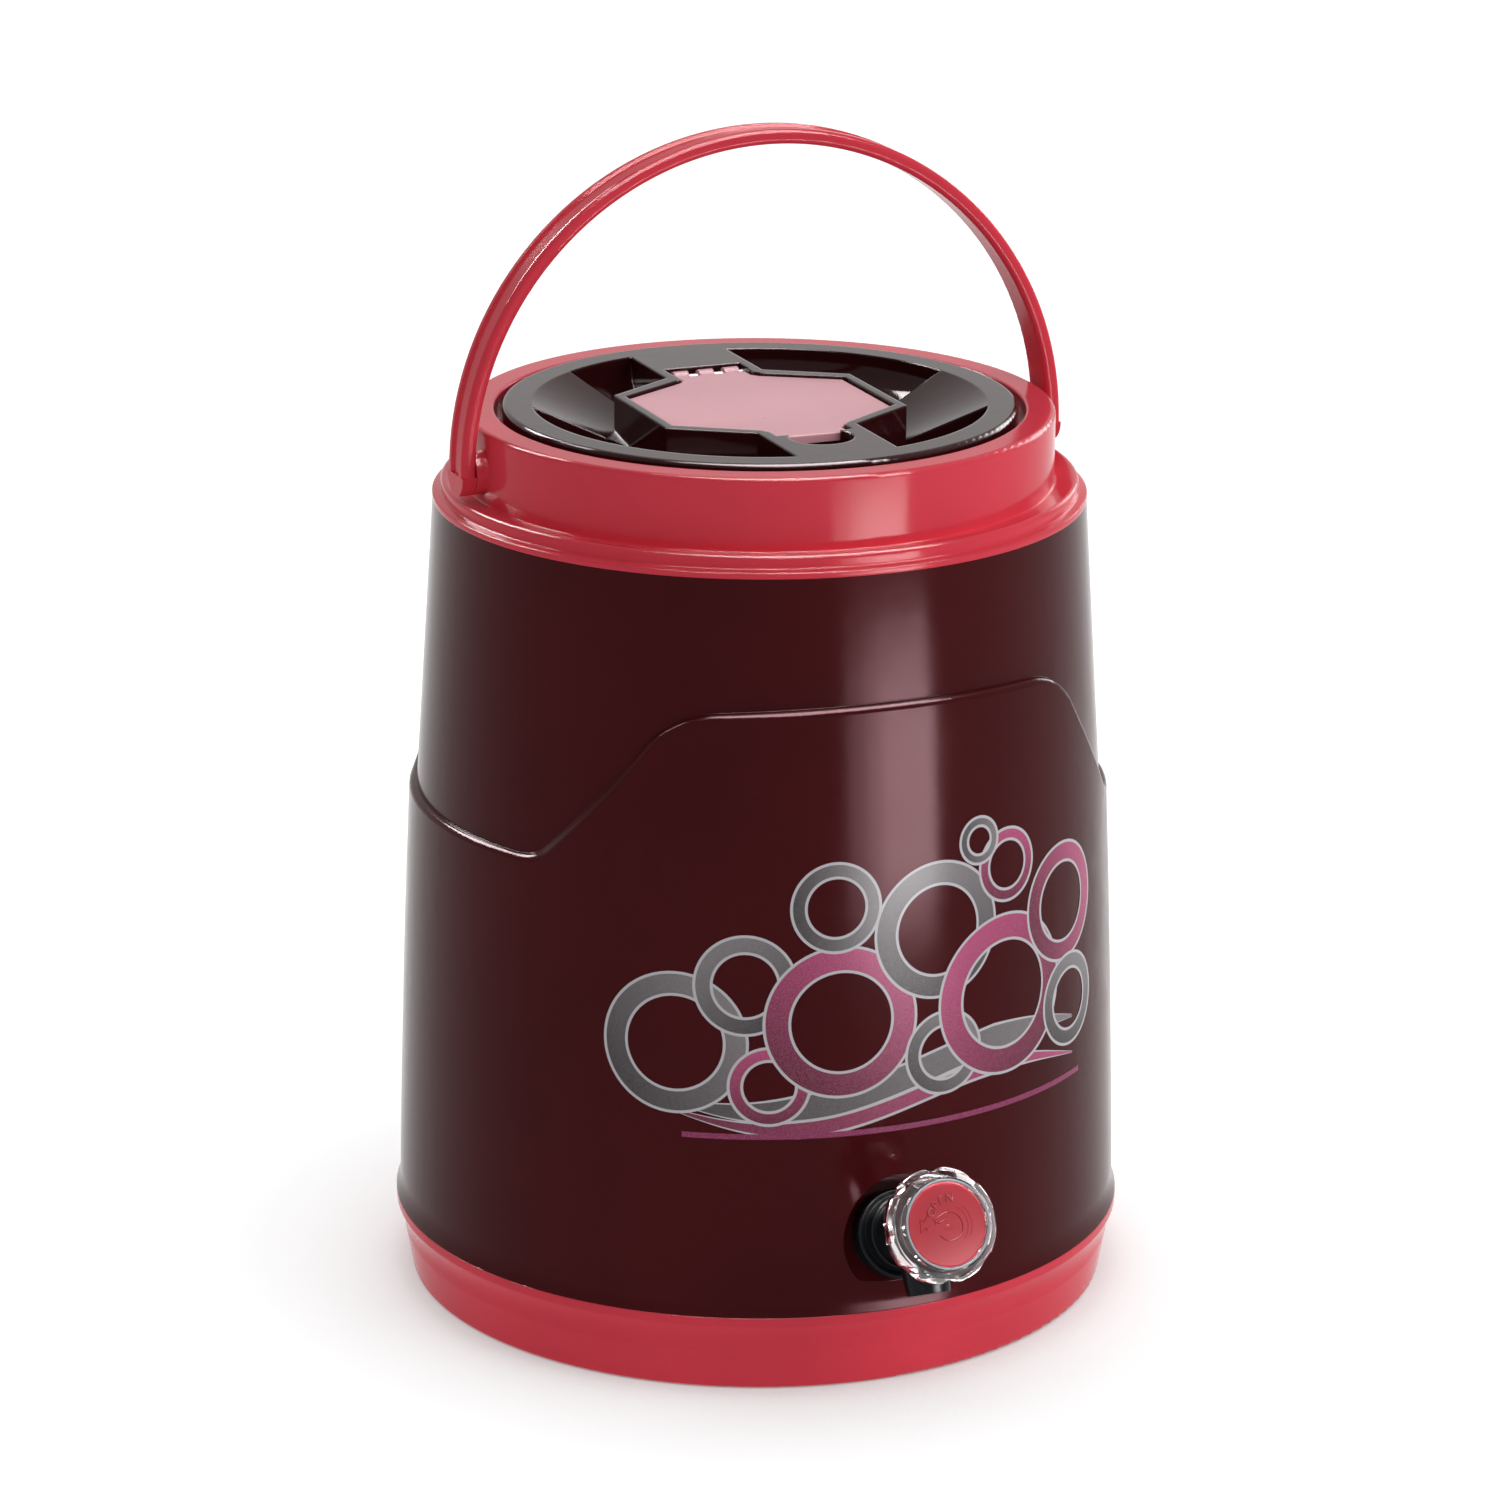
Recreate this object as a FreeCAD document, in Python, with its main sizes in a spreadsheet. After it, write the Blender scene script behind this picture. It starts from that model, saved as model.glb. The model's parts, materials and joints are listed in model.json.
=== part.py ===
"""Insulated water jug with a bail handle, a screw lid with a pouring flap and a turning tap.

Units are millimetres. The origin is the centre of the flat bottom, +Z is up and the tap faces -Y.
"""
import FreeCAD, Part
import math
import os
import re
from FreeCAD import Placement, Rotation, Vector
import Sketcher

# Driving dimensions: name, value or the sizes that it follows, meaning
SIZES = [
    # Base cover
    ("base_height", 31.0, "height of the base cover"),
    ("base_toe_inset", 5.8, "distance of the base's foot inside the body's foot"),
    ("base_bottom_radius", "body_foot_radius - base_toe_inset", "radius where the base meets the floor"),
    ("base_draft", 2.6, "outward draft of the base's wall"),
    ("base_wall_radius", "base_bottom_radius + base_draft", "radius below the cove"),
    ("base_wall_height", 16.0, "height where the cove starts"),
    ("base_cove_radius", 20.0, "radius of the cove under the lip"),
    ("base_lip_height", 3.6, "height of the upright lip"),
    ("base_wall", 2.8, "wall of the base cover"),
    ("base_floor", 3.0, "thickness of the bottom"),
    ("base_edge_round", 1.6, "rounding of the bottom edge"),
    ("base_hub_radius", 42.0, "radius of the flat centre of the bottom"),
    ("base_ring_width", 29.2, "width of the flat outer ring of the bottom"),
    ("base_ring_radius", "base_bottom_radius - base_ring_width", "inner radius of the flat outer ring of the bottom"),
    ("base_relief", 1.2, "depth of the relief between hub and ring"),
    # Base screws
    ("screw_inset", 10.2, "distance of the base screws inside the base's foot"),
    ("screw_circle", "base_bottom_radius - screw_inset", "radius of the circle of base screws"),
    ("screw_start_angle", 45.0, "angle of the first base screw"),
    ("screw_shank", 2.0, "radius of a base screw"),
    ("screw_length", 14.0, "length of a base screw under its head"),
    ("screw_head_radius", 3.9, "radius of a screw head"),
    ("screw_head_height", 2.6, "height of a screw head"),
    ("screw_well_radius", 4.6, "radius of the well that holds a screw head"),
    ("screw_well_depth", 19.0, "height of the top of a well"),
    ("screw_boss_radius", 6.6, "radius of a screw boss"),
    # Outer body
    ("body_foot_radius", 143.0, "radius of the body where it meets the base"),
    ("foot_flare", 1.7, "flare of the body's foot"),
    ("body_low_radius", "body_foot_radius - foot_flare", "radius above the flared foot"),
    ("body_flare_height", 10.0, "height of the flared foot"),
    ("body_step_height", 265.0, "height of the crest of the wave"),
    ("lower_taper", 9.4, "taper of the lower wall"),
    ("body_step_radius", "body_low_radius - lower_taper", "radius of the lower wall at the crest"),
    ("body_bulge_radius", 5700.0, "radius of the gentle bulge of the lower wall"),
    ("step_depth", 3.5, "depth of the wave-shaped step"),
    ("step_round", 2.4, "rounding of the edge of the step"),
    ("upper_wall_overlap", 1.5, "overlap of the upper wall behind the wave"),
    ("upper_low_height", "wave_low - upper_wall_overlap", "height where the upper wall starts"),
    ("upper_inset", 8.5, "distance of the upper wall's start inside the lower wall's"),
    ("upper_low_radius", "body_low_radius - upper_inset", "radius of the upper wall at its start"),
    ("body_above_neck", 9.7, "height of the body's top above the neck's start"),
    ("body_top_height", "neck_low_height + body_above_neck", "height of the top of the outer body"),
    ("upper_taper", 7.6, "taper of the upper wall"),
    ("body_top_radius", "upper_low_radius - upper_taper", "radius of the top of the outer body"),
    ("body_wall", 3.0, "wall of the outer body"),
    ("body_rim_height", 24.0, "height of the underside of the inner rim"),
    ("body_rim_width", 24.5, "width of the body's inner rim"),
    ("body_rim_inner", "body_foot_radius - body_rim_width", "inner radius of the inner rim"),
    ("body_post_height", 12.0, "height of the screw posts on the inner rim"),
    ("skirt_gap", 0.4, "clearance of the body skirt in the base"),
    ("wave_low", 199.5, "height of the wave at the sides"),
    ("wave_shoulder_run", 23.2, "width of the wave's shoulder"),
    ("wave_crest_half", "wave_shoulder - wave_shoulder_run", "half width of the shallow crest"),
    ("wave_crest_drop", 2.2, "drop of the crest at its ends"),
    ("wave_flank_run", 28.9, "width of the wave's flank"),
    ("wave_shoulder", "wave_flank - wave_flank_run", "half width where the steep flank starts"),
    ("wave_shoulder_drop", 16.05, "drop at the shoulder"),
    ("wave_foot_run", 6.8, "width of the wave's foot"),
    ("wave_flank", "wave_foot - wave_foot_run", "half width where the flank ends"),
    ("wave_flank_rise", 3.7, "height of the end of the flank above the sides"),
    ("wave_foot_inset", 20.4, "distance of the wave's foot inside the lower wall"),
    ("wave_foot", "body_low_radius - wave_foot_inset", "half width where the wave levels out"),
    ("wave_shoulder_round", 30.0, "radius of the shoulder"),
    ("wave_foot_round", 8.0, "radius of the foot of the flank"),
    # Inner tank
    ("insulation_depth", 37.3, "distance from the lower wall to the tank"),
    ("tank_bottom_radius", "body_low_radius - insulation_depth", "inner radius of the tank at the bottom"),
    ("tank_draft", 2.0, "outward draft of the tank"),
    ("tank_top_radius", "tank_bottom_radius + tank_draft", "inner radius of the tank under the shoulder"),
    ("tank_floor_height", 24.0, "height of the tank floor"),
    ("tank_corner", 6.0, "rounding of the tank's bottom corner"),
    ("tank_shoulder_height", 285.0, "height where the shoulder starts"),
    ("shoulder_rise", 18.0, "height of the tank's shoulder"),
    ("neck_low_height", "tank_shoulder_height + shoulder_rise", "height where the neck starts"),
    ("neck_length", 30.5, "length of the neck"),
    ("neck_top_height", "neck_low_height + neck_length", "height of the neck rim"),
    ("shoulder_inset", 10.4, "distance of the neck inside the tank"),
    ("neck_radius", "tank_top_radius - shoulder_inset", "inner radius of the neck"),
    ("neck_rim_width", 5.3, "width of the neck rim"),
    ("neck_rim_radius", "neck_radius + neck_rim_width", "outer radius of the neck rim"),
    ("tank_wall", 2.5, "wall of the tank"),
    ("neck_ridge", 0.9, "height of the ridge in the neck"),
    ("neck_ridge_depth", 15.9, "depth of the ridge's underside below the rim"),
    ("neck_ridge_low", "neck_top_height - neck_ridge_depth", "height of the underside of the ridge in the neck"),
    # Insulation
    ("foam_gap", 0.3, "clearance round the insulation"),
    ("foam_top_gap", 3.0, "distance of the insulation's top below the neck"),
    ("foam_top_height", "neck_low_height - foam_top_gap", "height of the top of the insulation"),
    # Collar
    ("collar_width", 11.3, "width of the collar"),
    ("collar_radius", "collar_inner + collar_width", "outer radius of the collar"),
    ("collar_neck_gap", 0.5, "clearance of the collar round the neck rim"),
    ("collar_inner", "neck_rim_radius + collar_neck_gap", "inner radius of the collar"),
    ("collar_rise", 13.5, "height of the collar above the neck rim"),
    ("collar_top", "neck_top_height + collar_rise", "height of the top of the collar"),
    ("collar_round", 1.6, "rounding of the collar edges"),
    ("collar_wall", 2.5, "wall of the collar"),
    ("collar_skirt", 8.5, "reach of the inner skirt below the neck rim"),
    ("collar_skirt_low", "neck_top_height - collar_skirt", "height of the lower end of the inner skirt"),
    ("flange_overhang", 0.1, "overhang of the flange's lip over the body"),
    ("flange_lip_radius", "body_top_radius + flange_overhang", "radius of the lower lip of the flange"),
    ("flange_lip_height", 2.2, "height of the lower lip"),
    ("flange_tier", 3.3, "width of the step between the flange's tiers"),
    ("flange_radius", "flange_lip_radius - flange_tier", "radius of the upper tier of the flange"),
    ("flange_rise", 7.8, "height of the flange above the body"),
    ("flange_top", "body_top_height + flange_rise", "height of the top of the flange"),
    ("flange_round", 1.5, "rounding of the flange"),
    ("flange_dish", 1.2, "depth of the crease at the collar wall"),
    ("flange_thickness", 3.4, "thickness of the flange"),
    ("spigot_depth", 10.7, "depth of the spigot in the body"),
    ("spigot_gap", 0.4, "clearance of the spigot in the body"),
    # Handle and pivots
    ("pivot_drop", 16.0, "distance of the pivots below the collar's top"),
    ("pivot_height", "collar_top - pivot_drop", "height of the handle pivots"),
    ("handle_offset", 4.8, "distance of the handle from the collar"),
    ("handle_radius", "collar_radius + handle_offset + handle_thickness", "outer radius of the handle arch"),
    ("handle_thickness", 5.7, "thickness of the handle"),
    ("handle_width", 17.0, "width of the handle"),
    ("handle_bead", 2.2, "rounding of the handle's edges"),
    ("handle_channel", 1.0, "depth of the channel in the outer face"),
    ("handle_channel_front", 4.6, "distance of the channel from the front edge"),
    ("handle_channel_rear", 3.9, "distance of the channel from the rear edge"),
    ("pivot_pin_radius", 4.0, "radius of a pivot pin"),
    ("pivot_pin_depth", 2.9, "depth of a pin in the handle"),
    ("pivot_fit", 0.06, "running clearance of a pin"),
    ("pivot_boss_radius", 8.4, "radius of a pivot boss"),
    ("pivot_boss_inset", 3.6, "distance of a boss behind the collar's outer face"),
    ("pivot_gap", 0.3, "clearance between boss and handle"),
    ("clip_thickness", 1.8, "thickness of a retaining clip"),
    ("clip_radius", 7.0, "radius of a retaining clip"),
    ("pin_tail", 0.8, "length of a pin behind its clip"),
    # Lid
    ("lid_side_gap", 3.1, "gap between the lid and the collar"),
    ("lid_radius", "collar_inner - lid_side_gap", "outer radius of the lid"),
    ("lid_stand", 1.5, "height of the lid above the collar"),
    ("lid_top", "collar_top + lid_stand", "height of the top of the lid"),
    ("lid_round", 1.5, "rounding of the lid's top edge"),
    ("gasket_room", 2.5, "room for the lid gasket on the neck rim"),
    ("lid_flange_low", "neck_top_height + gasket_room", "height of the underside of the lid flange"),
    ("lid_thread_gap", 3.1, "gap between the lid's wall and the neck"),
    ("lid_plug_radius", "neck_radius - lid_thread_gap", "radius of the part of the lid inside the neck"),
    ("lid_floor_drop", 7.5, "depth of the upper lid below its flange"),
    ("lid_floor_low", "lid_flange_low - lid_floor_drop", "height of the underside of the upper lid"),
    ("lid_rim_width", 11.3, "width of the lid's rim"),
    ("bowl_radius", "lid_radius - lid_rim_width", "radius of the bowl in the lid"),
    ("bowl_floor_wall", 3.0, "thickness of the bowl's floor"),
    ("bowl_floor", "lid_floor_low + bowl_floor_wall", "height of the floor of the bowl"),
    ("bowl_round", 15.0, "rounding of the bowl's floor into its wall"),
    ("ramp_run", 37.0, "length of a finger ramp"),
    ("ramp_inner", "bowl_radius - ramp_run", "inner radius of the finger ramps"),
    ("ramp_angle", 40.0, "width of a finger ramp"),
    ("ramp_left_start", 126.0, "angle where the left ramp starts"),
    ("ramp_right_start", -26.5, "angle where the right ramp starts"),
    ("island_half", 49.0, "half width of the island that holds the flap"),
    ("island_side", 27.5, "half length of the island's straight sides"),
    ("bridge_half", 20.0, "half width of the bridges"),
    ("bridge_start", 46.6, "distance where the bridges start"),
    ("core_wall", 3.0, "wall of the island"),
    ("island_roof", 8.0, "depth of the hollow under the island below the lid's top"),
    ("core_top", "lid_top - island_roof", "height of the hollow under the island"),
    ("lid_plug_length", 31.5, "reach of the lid below the neck rim"),
    ("inner_lid_low", "neck_top_height - lid_plug_length", "height of the underside of the lid"),
    ("inner_lid_wall", 2.5, "wall of the lower lid"),
    ("lid_joint_gap", 0.2, "clearance between the two lid halves"),
    ("lid_ridge", 1.8, "height of the screw ridges"),
    ("lid_ridge_width", 3.2, "width of a screw ridge at its foot"),
    ("lid_ridge_rise", 7.0, "height of the lower ridge above the lid's underside"),
    ("lid_ridge_low", "inner_lid_low + lid_ridge_rise", "height of the lower screw ridge"),
    ("lid_ridge_pitch", 6.0, "distance between the screw ridges"),
    ("lid_foam_gap", 0.3, "clearance of the lid insulation"),
    ("gasket_clearance", 0.05, "clearance of the lid gasket"),
    # Pouring flap
    ("pour_radius", 16.3, "radius of the pouring hole"),
    ("pour_wall", 2.5, "wall of the pouring tube"),
    ("recess_depth", 4.8, "depth of the flap's recess"),
    ("recess_floor", "lid_top - recess_depth", "height of the floor of the flap's recess"),
    ("flap_rest_gap", 0.5, "clearance under the flap"),
    ("flap_low", "recess_floor + flap_rest_gap", "height of the underside of the flap"),
    ("flap_thickness", 3.4, "thickness of the flap"),
    ("flap_top", "flap_low + flap_thickness", "height of the top of the flap"),
    ("flap_gap", 1.0, "clearance round the flap"),
    ("flap_half", 44.5, "half width of the flap"),
    ("flap_side", 23.8, "half length of the flap's straight sides"),
    ("flap_shoulder_half", 16.5, "half width at the flap's shoulders"),
    ("flap_rear_shoulder", 41.0, "distance of the rear shoulder"),
    ("flap_front_shoulder", 43.0, "distance of the front shoulder"),
    ("flap_tab_half", 14.4, "half width of the front tab"),
    ("flap_tab_end", 52.5, "distance of the end of the front tab"),
    ("flap_rear_end", 50.0, "distance of the rear end of the flap's plate"),
    ("flap_edge_round", 0.8, "rounding of the flap's top edge"),
    ("notch_radius", 12.3, "radius of the finger notch"),
    ("notch_distance", 60.0, "distance of the notch from the lid's axis"),
    ("notch_depth", 10.5, "depth of the finger notch"),
    ("notch_floor", "lid_top - notch_depth", "height of the floor of the finger notch"),
    ("hinge_distance", 56.5, "distance of the flap hinge from the lid's axis"),
    ("hinge_drop", 2.1, "distance of the hinge below the flap's top"),
    ("hinge_height", "flap_top - hinge_drop", "height of the flap hinge"),
    ("hinge_pin_radius", 1.25, "radius of the hinge pin"),
    ("hinge_fit", 0.08, "running clearance of the hinge pin"),
    ("hinge_pin_half", 17.6, "half length of the hinge pin"),
    ("hinge_slot_half", 16.0, "half width of the hinge slot"),
    ("hinge_slot_reach", 4.2, "reach of the slot round the hinge"),
    ("knuckle_radius", 2.6, "radius of a knuckle"),
    ("knuckle_width", 6.0, "width of a knuckle"),
    ("knuckle_step", 10.5, "distance between knuckles"),
    ("plug_radius", 12.0, "radius of the plug under the flap"),
    ("plug_length", 4.8, "length of the plug under the flap"),
    ("plug_low", "flap_low - plug_length", "height of the underside of the plug"),
    ("seal_radius", 15.8, "outer radius of the flap seal"),
    ("seal_height", 4.2, "height of the flap seal"),
    ("seal_low", "flap_low - seal_height", "height of the underside of the flap seal"),
    ("seal_gap", 0.15, "clearance round the seal"),
    # Tap
    ("tap_tilt", 25.0, "upward tilt of the tap"),
    ("seat_inset", 7.3, "distance of the tap's seat inside the lower wall"),
    ("seat_distance", "body_low_radius - seat_inset", "distance of the tap's seat from the jug's axis"),
    ("seat_height", 57.3, "height of the tap's seat"),
    ("seat_pocket_radius", 21.7, "radius of the pocket round the tap"),
    ("seat_boss_radius", 26.5, "radius of the boss behind the pocket"),
    ("seat_boss_wall", 3.5, "thickness of the boss behind the seat"),
    ("shank_radius", 8.0, "radius of the tap's shank"),
    ("shank_gap", 0.4, "clearance round the shank"),
    ("shank_end", 46.0, "length of the shank behind the seat"),
    ("inlet_radius", 6.0, "radius of the inlet bore"),
    ("outer_gasket", 2.5, "thickness of the outer gasket"),
    ("outer_gasket_radius", 16.0, "radius of the outer gasket"),
    ("gasket_gap", 0.1, "clearance of the tap gaskets"),
    ("tap_flange_radius", 16.9, "radius of the tap's flange"),
    ("tap_flange_front", 9.9, "distance of the flange's front from the seat"),
    ("tap_step_radius", 14.2, "radius of the barrel's first step"),
    ("tap_step_front", 16.0, "distance of the first step's front"),
    ("barrel_radius", 12.5, "radius of the barrel"),
    ("barrel_end", 41.5, "distance of the barrel's end from the seat"),
    ("chamber_radius", 9.6, "radius of the valve chamber"),
    ("valve_seat", 17.5, "distance of the valve seat"),
    ("valve_seat_wall", 3.0, "thickness of the valve seat"),
    ("valve_bore", 5.0, "radius of the bore in the valve seat"),
    ("spout_distance", 27.6, "distance of the spout from the seat"),
    ("spout_reach", 24.0, "reach of the spout below the tap's axis"),
    ("spout_top_radius", 10.5, "radius of the spout at its root"),
    ("spout_end_radius", 8.2, "radius of the spout's end"),
    ("spout_bore", 5.5, "radius of the spout's bore"),
    ("liner_seat", 35.0, "distance of the tank's seat behind the tap's seat"),
    ("liner_boss_radius", 16.4, "radius of the tank's boss"),
    ("liner_boss_front", 25.0, "distance of the front of the tank's boss"),
    ("liner_boss_rear", 43.0, "distance of the rear of the tank's boss"),
    ("liner_pocket_radius", 13.6, "radius of the pocket in the tank's boss"),
    ("inner_gasket", 2.4, "thickness of the inner gasket"),
    ("inner_gasket_radius", 12.6, "radius of the inner gasket"),
    ("nut_height", 6.0, "height of the lock nut"),
    ("nut_corner_radius", 13.0, "radius of the lock nut's corners"),
    ("washer_radius", 7.0, "radius of the valve washer"),
    ("washer_thickness", 2.5, "thickness of the valve washer"),
    ("washer_pin_radius", 2.2, "radius of the pin that holds the washer"),
    ("washer_gap", 0.1, "clearance of the valve washer"),
    ("stem_disc", 1.8, "thickness of the disc behind the washer"),
    ("stem_radius", 3.4, "radius of the stem"),
    ("stem_fit", 0.08, "running clearance of the stem"),
    ("piston_start", 34.2, "distance of the stem's piston"),
    ("piston_length", 4.6, "length of the piston"),
    ("ring_section", 1.0, "section radius of the stem seal"),
    ("stem_tip_radius", 3.9, "radius of the stem's tip"),
    ("stem_end", 46.0, "distance of the stem's end"),
    ("knob_rear", 37.3, "distance of the rear of the knob"),
    ("knob_fit", 0.1, "running clearance of the knob"),
    ("knob_hub_radius", 15.6, "radius of the knob's rear hub"),
    ("knob_radius", 21.5, "radius of the knob"),
    ("knob_front", 56.6, "distance of the front of the knob"),
    ("knob_rim_radius", 17.3, "radius of the knob's front ring"),
    ("knob_recess_floor", 52.2, "distance of the floor of the cap's recess"),
    ("knob_recess_radius", 15.7, "radius of the cap's recess"),
    ("knob_lobes", 8.0, "number of hollows round the knob"),
    ("knob_hollow_radius", 7.0, "radius of a hollow"),
    ("knob_hollow_depth", 1.5, "depth of a hollow"),
    ("cap_gap", 0.2, "clearance round the cap"),
    ("cap_height", 3.0, "height of the cap's edge"),
    ("cap_dome", 0.6, "rise of the cap's dome"),
]
NAMES = {name for name, size, meaning in SIZES}

doc = FreeCAD.newDocument("water_jug")
sheet = doc.addObject("Spreadsheet::Sheet", "dims")
for row, (name, size, meaning) in enumerate(SIZES, start=1):
    sheet.setAlias(f"B{row}", name)
for row, (name, size, meaning) in enumerate(SIZES, start=1):
    sheet.set(f"A{row}", meaning)
    sheet.set(f"B{row}", "=" + size if isinstance(size, str) else str(size))
doc.recompute()


def bound(text):
    """Write each size's name as its cell in the sheet."""
    return re.sub(r"[a-z_]\w*", lambda m: "dims." + m.group() if m.group() in NAMES else m.group(), text)


def value(text):
    """Number that an expression of sizes stands for."""
    return float(sheet.evalExpression(bound(text)))


def bind(thing, **sizes):
    """Bind properties of an object to expressions of sizes."""
    for prop, text in sizes.items():
        thing.setExpression(prop, bound(text))
    return thing


def place(thing, x="0", y="0", z="0", axis=None, angle=None):
    """Give an object a place, and a turn about an axis, from expressions of sizes."""
    turn = Rotation(Vector(*axis), value(angle)) if axis else Rotation()
    thing.Placement = Placement(Vector(value(x), value(y), value(z)), turn)
    for letter, text in zip("xyz", (x, y, z)):
        if text != "0":
            thing.setExpression(f".Placement.Base.{letter}", bound(text))
    if axis and not angle.lstrip("-").isdigit():
        thing.setExpression(".Placement.Rotation.Angle", bound(angle))
    return thing


def plane_of(body, role):
    """Origin plane of a body."""
    return next(f for f in body.Origin.OriginFeatures if f.Role == role)


def draw(sketch, corners, rounds=None):
    """Closed outline through corners given as pairs of expressions.

    rounds gives, by corner number, the radius of the arc that leads on from that corner. A positive
    arc bends to the left on its way to the next corner, and a negative one to the right.
    """
    rounds = rounds or {}
    points = [Vector(value(x), value(y), 0) for x, y in corners]
    shapes, ends = [], []
    for i, start in enumerate(points):
        end = points[(i + 1) % len(points)]
        if i not in rounds:
            shapes.append(Part.LineSegment(start, end))
            ends.append((1, 2))
            continue
        left_turn = not rounds[i].startswith("-")
        radius = abs(value(rounds[i]))
        chord = end - start
        side = Vector(chord.y, -chord.x, 0).normalize() * (1 if left_turn else -1)
        rise = radius - math.sqrt(radius ** 2 - chord.Length ** 2 / 4)
        middle = (start + end) / 2 + side * rise
        first, last = (start, end) if left_turn else (end, start)
        shapes.append(Part.Arc(first, middle, last))
        ends.append((1, 2) if left_turn else (2, 1))
    sketch.addGeometry(shapes, False)
    rules, texts = [], []
    for i, (x, y) in enumerate(corners):
        following = (i + 1) % len(corners)
        rules.append(Sketcher.Constraint("Coincident", i, ends[i][1], following, ends[following][0]))
        texts.append(None)
        rules.append(Sketcher.Constraint("DistanceX", i, ends[i][0], points[i].x))
        texts.append(x)
        rules.append(Sketcher.Constraint("DistanceY", i, ends[i][0], points[i].y))
        texts.append(y)
        if i in rounds:
            rules.append(Sketcher.Constraint("Radius", i, abs(value(rounds[i]))))
            texts.append(rounds[i].lstrip("-"))
    sketch.addConstraint(rules)
    for number, text in enumerate(texts):
        if text is not None and not re.fullmatch(r"-?[\d.]+", text):
            sketch.setExpression(f"Constraints[{number}]", bound(text))


def sketch_in(body, name, role, corners, rounds=None, offset=None):
    """Sketch of a closed outline on an origin plane of a body, moved along its normal by offset."""
    sketch = body.newObject("Sketcher::SketchObject", name)
    sketch.AttachmentSupport = [(plane_of(body, role), "")]
    sketch.MapMode = "FlatFace"
    if offset:
        sketch.AttachmentOffset = Placement(Vector(0, 0, value(offset)), Rotation())
        sketch.setExpression(".AttachmentOffset.Base.z", bound(offset))
    draw(sketch, corners, rounds)
    return sketch


def new_body(label):
    """Empty body with a label of its own."""
    body = doc.addObject("PartDesign::Body", label)
    body.Label = label
    return body


def add_turned(body, name, corners, rounds=None):
    """Add a solid of revolution about the body's Z axis: corners are (radius, height)."""
    sketch = sketch_in(body, name + "_outline", "XZ_Plane", corners, rounds)
    turned = body.newObject("PartDesign::Revolution", name)
    turned.Profile = sketch
    turned.ReferenceAxis = (sketch, ["V_Axis"])
    turned.Angle = 360
    sketch.Visibility = False
    return turned


def turned_body(label, corners, rounds=None):
    """Body that is one solid of revolution about its Z axis."""
    body = new_body(label)
    add_turned(body, label + "_turned", corners, rounds)
    return body


def add_pad(body, name, role, corners, length, rounds=None, offset=None, reverse=False):
    """Add an extruded outline."""
    sketch = sketch_in(body, name + "_outline", role, corners, rounds, offset)
    pad = body.newObject("PartDesign::Pad", name)
    pad.Profile = sketch
    pad.Reversed = reverse
    bind(pad, Length=length)
    sketch.Visibility = False
    return pad


def add_round(body, feature, name, radius, chosen):
    """Round the edges of a feature that the test picks."""
    doc.recompute()
    picked = [f"Edge{i}" for i, edge in enumerate(feature.Shape.Edges, start=1) if chosen(edge)]
    if not picked:
        raise RuntimeError(f"{name}: no edge to round")
    fillet = body.newObject("PartDesign::Fillet", name)
    fillet.Base = (feature, picked)
    bind(fillet, Radius=radius)
    return fillet


def cylinder(name, radius, height, angle=None):
    """Cylinder along Z."""
    bar = doc.addObject("Part::Cylinder", name)
    bind(bar, Radius=radius, Height=height)
    if angle:
        bind(bar, Angle=angle)
    return bar


def fused(name, pieces):
    """Union of pieces."""
    union = doc.addObject("Part::MultiFuse", name)
    union.Shapes = pieces
    union.Refine = False
    return union


def cut(name, base, tool):
    """Base with the tool cut away."""
    rest = doc.addObject("Part::Cut", name)
    rest.Base = base
    rest.Tool = tool
    rest.Refine = False
    return rest


def common(name, one, other):
    """What two pieces share."""
    shared = doc.addObject("Part::Common", name)
    shared.Base = one
    shared.Tool = other
    return shared


def on_tap(thing, distance="0", below="0"):
    """Place an object in the tap's frame, whose Z axis points outward along the tilted tap."""
    y = f"-seat_distance - ({distance}) * cos(tap_tilt * 1 deg) - ({below}) * sin(tap_tilt * 1 deg)"
    z = f"seat_height + ({distance}) * sin(tap_tilt * 1 deg) - ({below}) * cos(tap_tilt * 1 deg)"
    return place(thing, y=y, z=z, axis=(1, 0, 0), angle="90 - tap_tilt")


NODES = {}


def node(label, thing):
    """Name a finished sub-part."""
    thing.Label = label
    NODES[label] = thing
    return thing


SCREW_COUNT = 4


def screw_angle(number):
    """Angle of one base screw."""
    return f"(screw_start_angle + {number} * 360 / {SCREW_COUNT})"


def on_screw_circle(thing, number, z):
    """Place an object at one base screw."""
    turn = screw_angle(number)
    return place(thing, x=f"screw_circle * cos({turn} * 1 deg)", y=f"screw_circle * sin({turn} * 1 deg)", z=z)


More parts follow.
